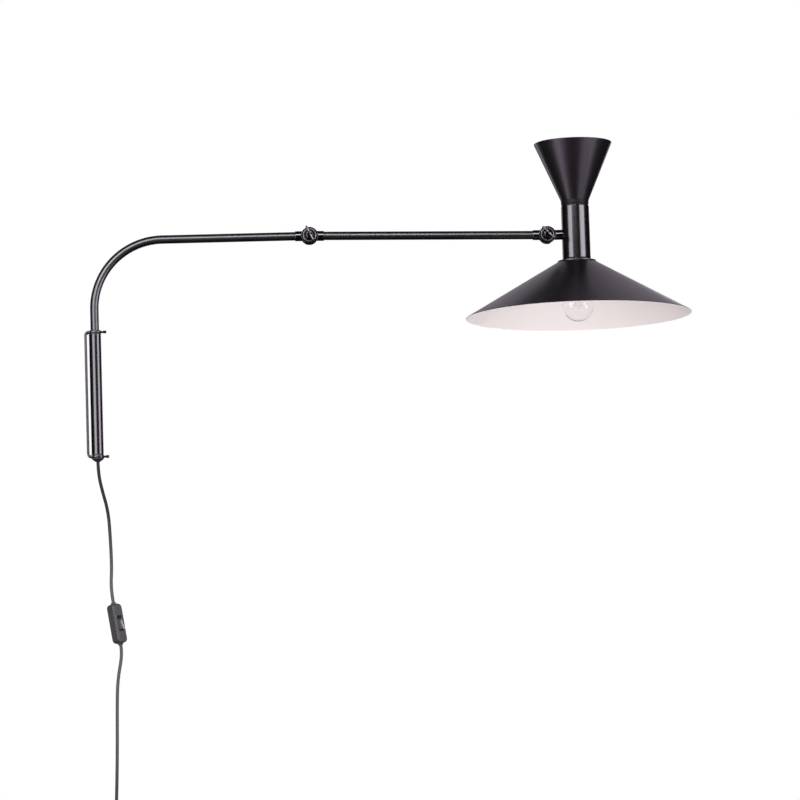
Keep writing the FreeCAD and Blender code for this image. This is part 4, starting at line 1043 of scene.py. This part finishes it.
def wire(points, way, radius):
    """Thin round wire through points from the neck's axis, up for one bulb, down for the other."""
    path = NECK + np.asarray(points, float) * [1.0, 1.0, way] * MM
    side = np.broadcast_to(np.array([0.31, 0.95, 0.11]), path.shape)
    return capped(pipe(path, side, circle(radius, 10))), False, 1


def bulb(place, way):
    """Clear globe with a thin blown wall, on a plated cap with a rolled thread."""
    wall = np.vstack([globe_profile(22.0, 9.0)[::-1], globe_profile(22.5, 9.5)])
    piece(f"{place}_globe", [(turned(wall, NECK, UP * way, 160), False, 0)], "lamp_head",
          "bulb_glass", [f"{place}_bulb_glass"])
    low, high, radius = 49.0, 64.0, 6.85
    level = np.linspace(low, high, 76)
    contact = [(0.0, 44.0), (2.5, 44.0), (2.5, 44.8), (6.2, 47.2)]
    thread = np.c_[radius - ripple(level - low, 3.0, 0.5), level]
    collar = [(radius, 66.8), (9.5, 66.8), (9.5, 71.0), (0.0, 71.0)]
    collar = rounded(collar, [0.0, 0.8, 0.5, 0.0])[CORNER_STEPS:]
    cap = turned(np.vstack([contact, thread, collar]), NECK, UP * way, 96)
    piece(f"{place}_cap", [(cap, False, 0)], "lamp_head", "cap_metal", [f"{place}_bulb_cap"])


def bulb_mount(place, way):
    """Pinched glass stem, two lead wires, two props and a fine looped filament.

    The filament rises and falls as the root of a sine, and sways as a sine from front to back.
    """
    stem = [(0.0, 71.0), (6.0, 71.0), (3.4, 76.0), (2.4, 82.0), (2.2, 90.0), (2.8, 91.5),
            (1.2, 93.5), (0.0, 93.8)]
    stem = rounded(stem, [0.0, 0.5, 2.0, 2.0, 1.5, 0.8, 0.8, 0.0])
    lift = np.linspace(0.0, 1.0, 24)
    lead = np.c_[1.4 + 8.0 * lift ** 2, 0 * lift, 88.0 + 18.0 * lift]
    prop = np.c_[3.1 * lift, 1.6 * lift, 93.0 + 9.2 * lift]
    across = np.linspace(-9.4, 9.4, 161)
    drop = 4.6 * np.abs(np.sin(across * math.pi / 6.27)) ** 0.7
    loops = np.c_[across, 2.4 * np.sin(across), 106.0 - drop]
    grids = [
        (turned(stem, NECK, UP * way, 48), False, 0),
        wire(lead, way, 0.3), wire(lead * [-1, 1, 1], way, 0.3),
        wire(loops, way, 0.18),
        wire(prop, way, 0.16), wire(prop * [-1, -1, 1], way, 0.16),
    ]
    piece(f"{place}_mount", grids, "lamp_head", "filament", [f"{place}_bulb_filament"],
          [FINISHES["bulb_glass"], FINISHES["filament"]])


# Light: tall soft boxes to the left and right, a wide one above the camera, two low ones for the
# cone, two dim ones behind, a pale back wall and a small bright patch high on its right

LIGHT_COLOUR = (0.98, 0.90, 1.02)
FLOOR_LEVEL, FLOOR_MIDDLE, FLOOR_HALF = -1.15, 0.4, 6.0


def soft_box(name, place, size, power, aim, spread=180.0):
    """Oblong light at place, turned to aim, its light kept within spread degrees."""
    lamp = bpy.data.lights.new(name, "AREA")
    lamp.shape = "RECTANGLE"
    lamp.size, lamp.size_y = size
    lamp.energy = power
    lamp.color = LIGHT_COLOUR
    lamp.spread = math.radians(spread)
    light = add_object(name, lamp)
    light.visible_camera = False
    facing = np.array(aim) - np.array(place)
    facing /= np.linalg.norm(facing)
    across = np.cross(facing, UP)
    across /= np.linalg.norm(across)
    stand(light, across, np.cross(across, facing), facing, place)


def pale_floor(name):
    """Even pale floor, lit softly by itself where the camera sees it, and clear from below."""
    finish = Finish(name)
    cloud = finish.noise(1.5)
    finish.surface(
        base_color=finish.blend(cloud, grey(0.84), grey(0.88)),
        roughness=0.7 + sway(cloud, 0.1),
    )
    lit = Value(finish, finish.shader.outputs[0])
    glow = finish.node("Emission", None, {0: grey(0.86)})
    seen = finish.node("LightPath", output="Is Camera Ray")
    above = finish.node("MixShader", None, {0: seen * 0.85, 1: lit, 2: glow})
    below = finish.node("NewGeometry", output="Backfacing")
    clear = finish.node("BsdfTransparent")
    whole = finish.node("MixShader", None, {0: below, 1: above, 2: clear})
    finish.feed(finish.tree.nodes["Material Output"], {0: whole})
    return finish.material


def white_room():
    """World: white where the camera sees it, dim as light and nearly dark in reflections."""
    world = bpy.data.worlds.new("Studio")
    bpy.context.scene.world = world
    world.use_nodes = True
    tree = world.node_tree
    ray = tree.nodes.new("ShaderNodeLightPath")
    as_light, in_mirrors, to_camera = 0.22, 0.012, 1.0
    unseen = tree.nodes.new("ShaderNodeMix")
    unseen.inputs[2].default_value = as_light
    unseen.inputs[3].default_value = in_mirrors
    strength = tree.nodes.new("ShaderNodeMix")
    strength.inputs[3].default_value = to_camera
    background = tree.nodes["Background"]
    background.inputs["Color"].default_value = (1.0, 1.0, 1.0, 1.0)
    tree.links.new(ray.outputs["Is Glossy Ray"], unseen.inputs[0])
    tree.links.new(unseen.outputs[0], strength.inputs[2])
    tree.links.new(ray.outputs["Is Camera Ray"], strength.inputs[0])
    tree.links.new(strength.outputs[0], background.inputs["Strength"])


def studio():
    """Room, lights and floor."""
    white_room()
    soft_box("Left soft box", (-0.54, -1.03, 0.15), (0.93, 1.32), 19.3, (0.45, 0.0, 0.15))
    soft_box("Right soft box", (3.0, -1.8, 0.15), (2.1, 2.4), 90.0, (0.60, 0.0, 0.15))
    soft_box("Top soft box", (0.0, -1.5, 0.97), (1.7, 0.6), 31.5, (0.0, 0.0, 0.20))
    soft_box("Low left box", (-0.18, -0.47, -0.48), (0.5, 0.5), 0.09, (0.7, 0.0, 0.3), 60.0)
    soft_box("Low right box", (1.27, -0.82, -0.48), (0.5, 0.5), 0.07, (0.7, 0.0, 0.3), 60.0)
    soft_box("Back wall", (0.85, 5.0, 2.9), (7.6, 3.8), 46.0, (0.85, 0.0, 2.9))
    soft_box("Rear left box", (-1.15, 3.2, 0.35), (1.0, 1.8), 6.0, (0.45, 0.0, 0.10))
    soft_box("Rear right box", (1.70, 3.2, 0.35), (1.1, 1.8), 7.0, (0.45, 0.0, 0.10))
    soft_box("High right wall", (2.4, 4.0, 5.0), (2.6, 1.8), 5.5, (0.7, 0.0, 0.15))
    corners = [(x + FLOOR_MIDDLE, y, FLOOR_LEVEL) for x, y in oblong(FLOOR_HALF, FLOOR_HALF)]
    mesh = bpy.data.meshes.new("Floor")
    mesh.from_pydata(corners, [], [(0, 1, 2, 3)])
    mesh.materials.append(pale_floor("pale_floor"))
    floor = add_object("Floor", mesh)
    floor.visible_glossy = False
    bpy.context.scene.view_settings.view_transform = "Standard"


place_camera()
cords()
bracket()
eye_screws()
swivel()
curved_arm()
forearm()
pivots()
neck()
shade()
cone()
for place, way, seat in (("lower", -1, 39.2), ("upper", 1, 44.2)):
    lampholder(place, way, seat)
    bulb(place, way)
    bulb_mount(place, way)
studio()
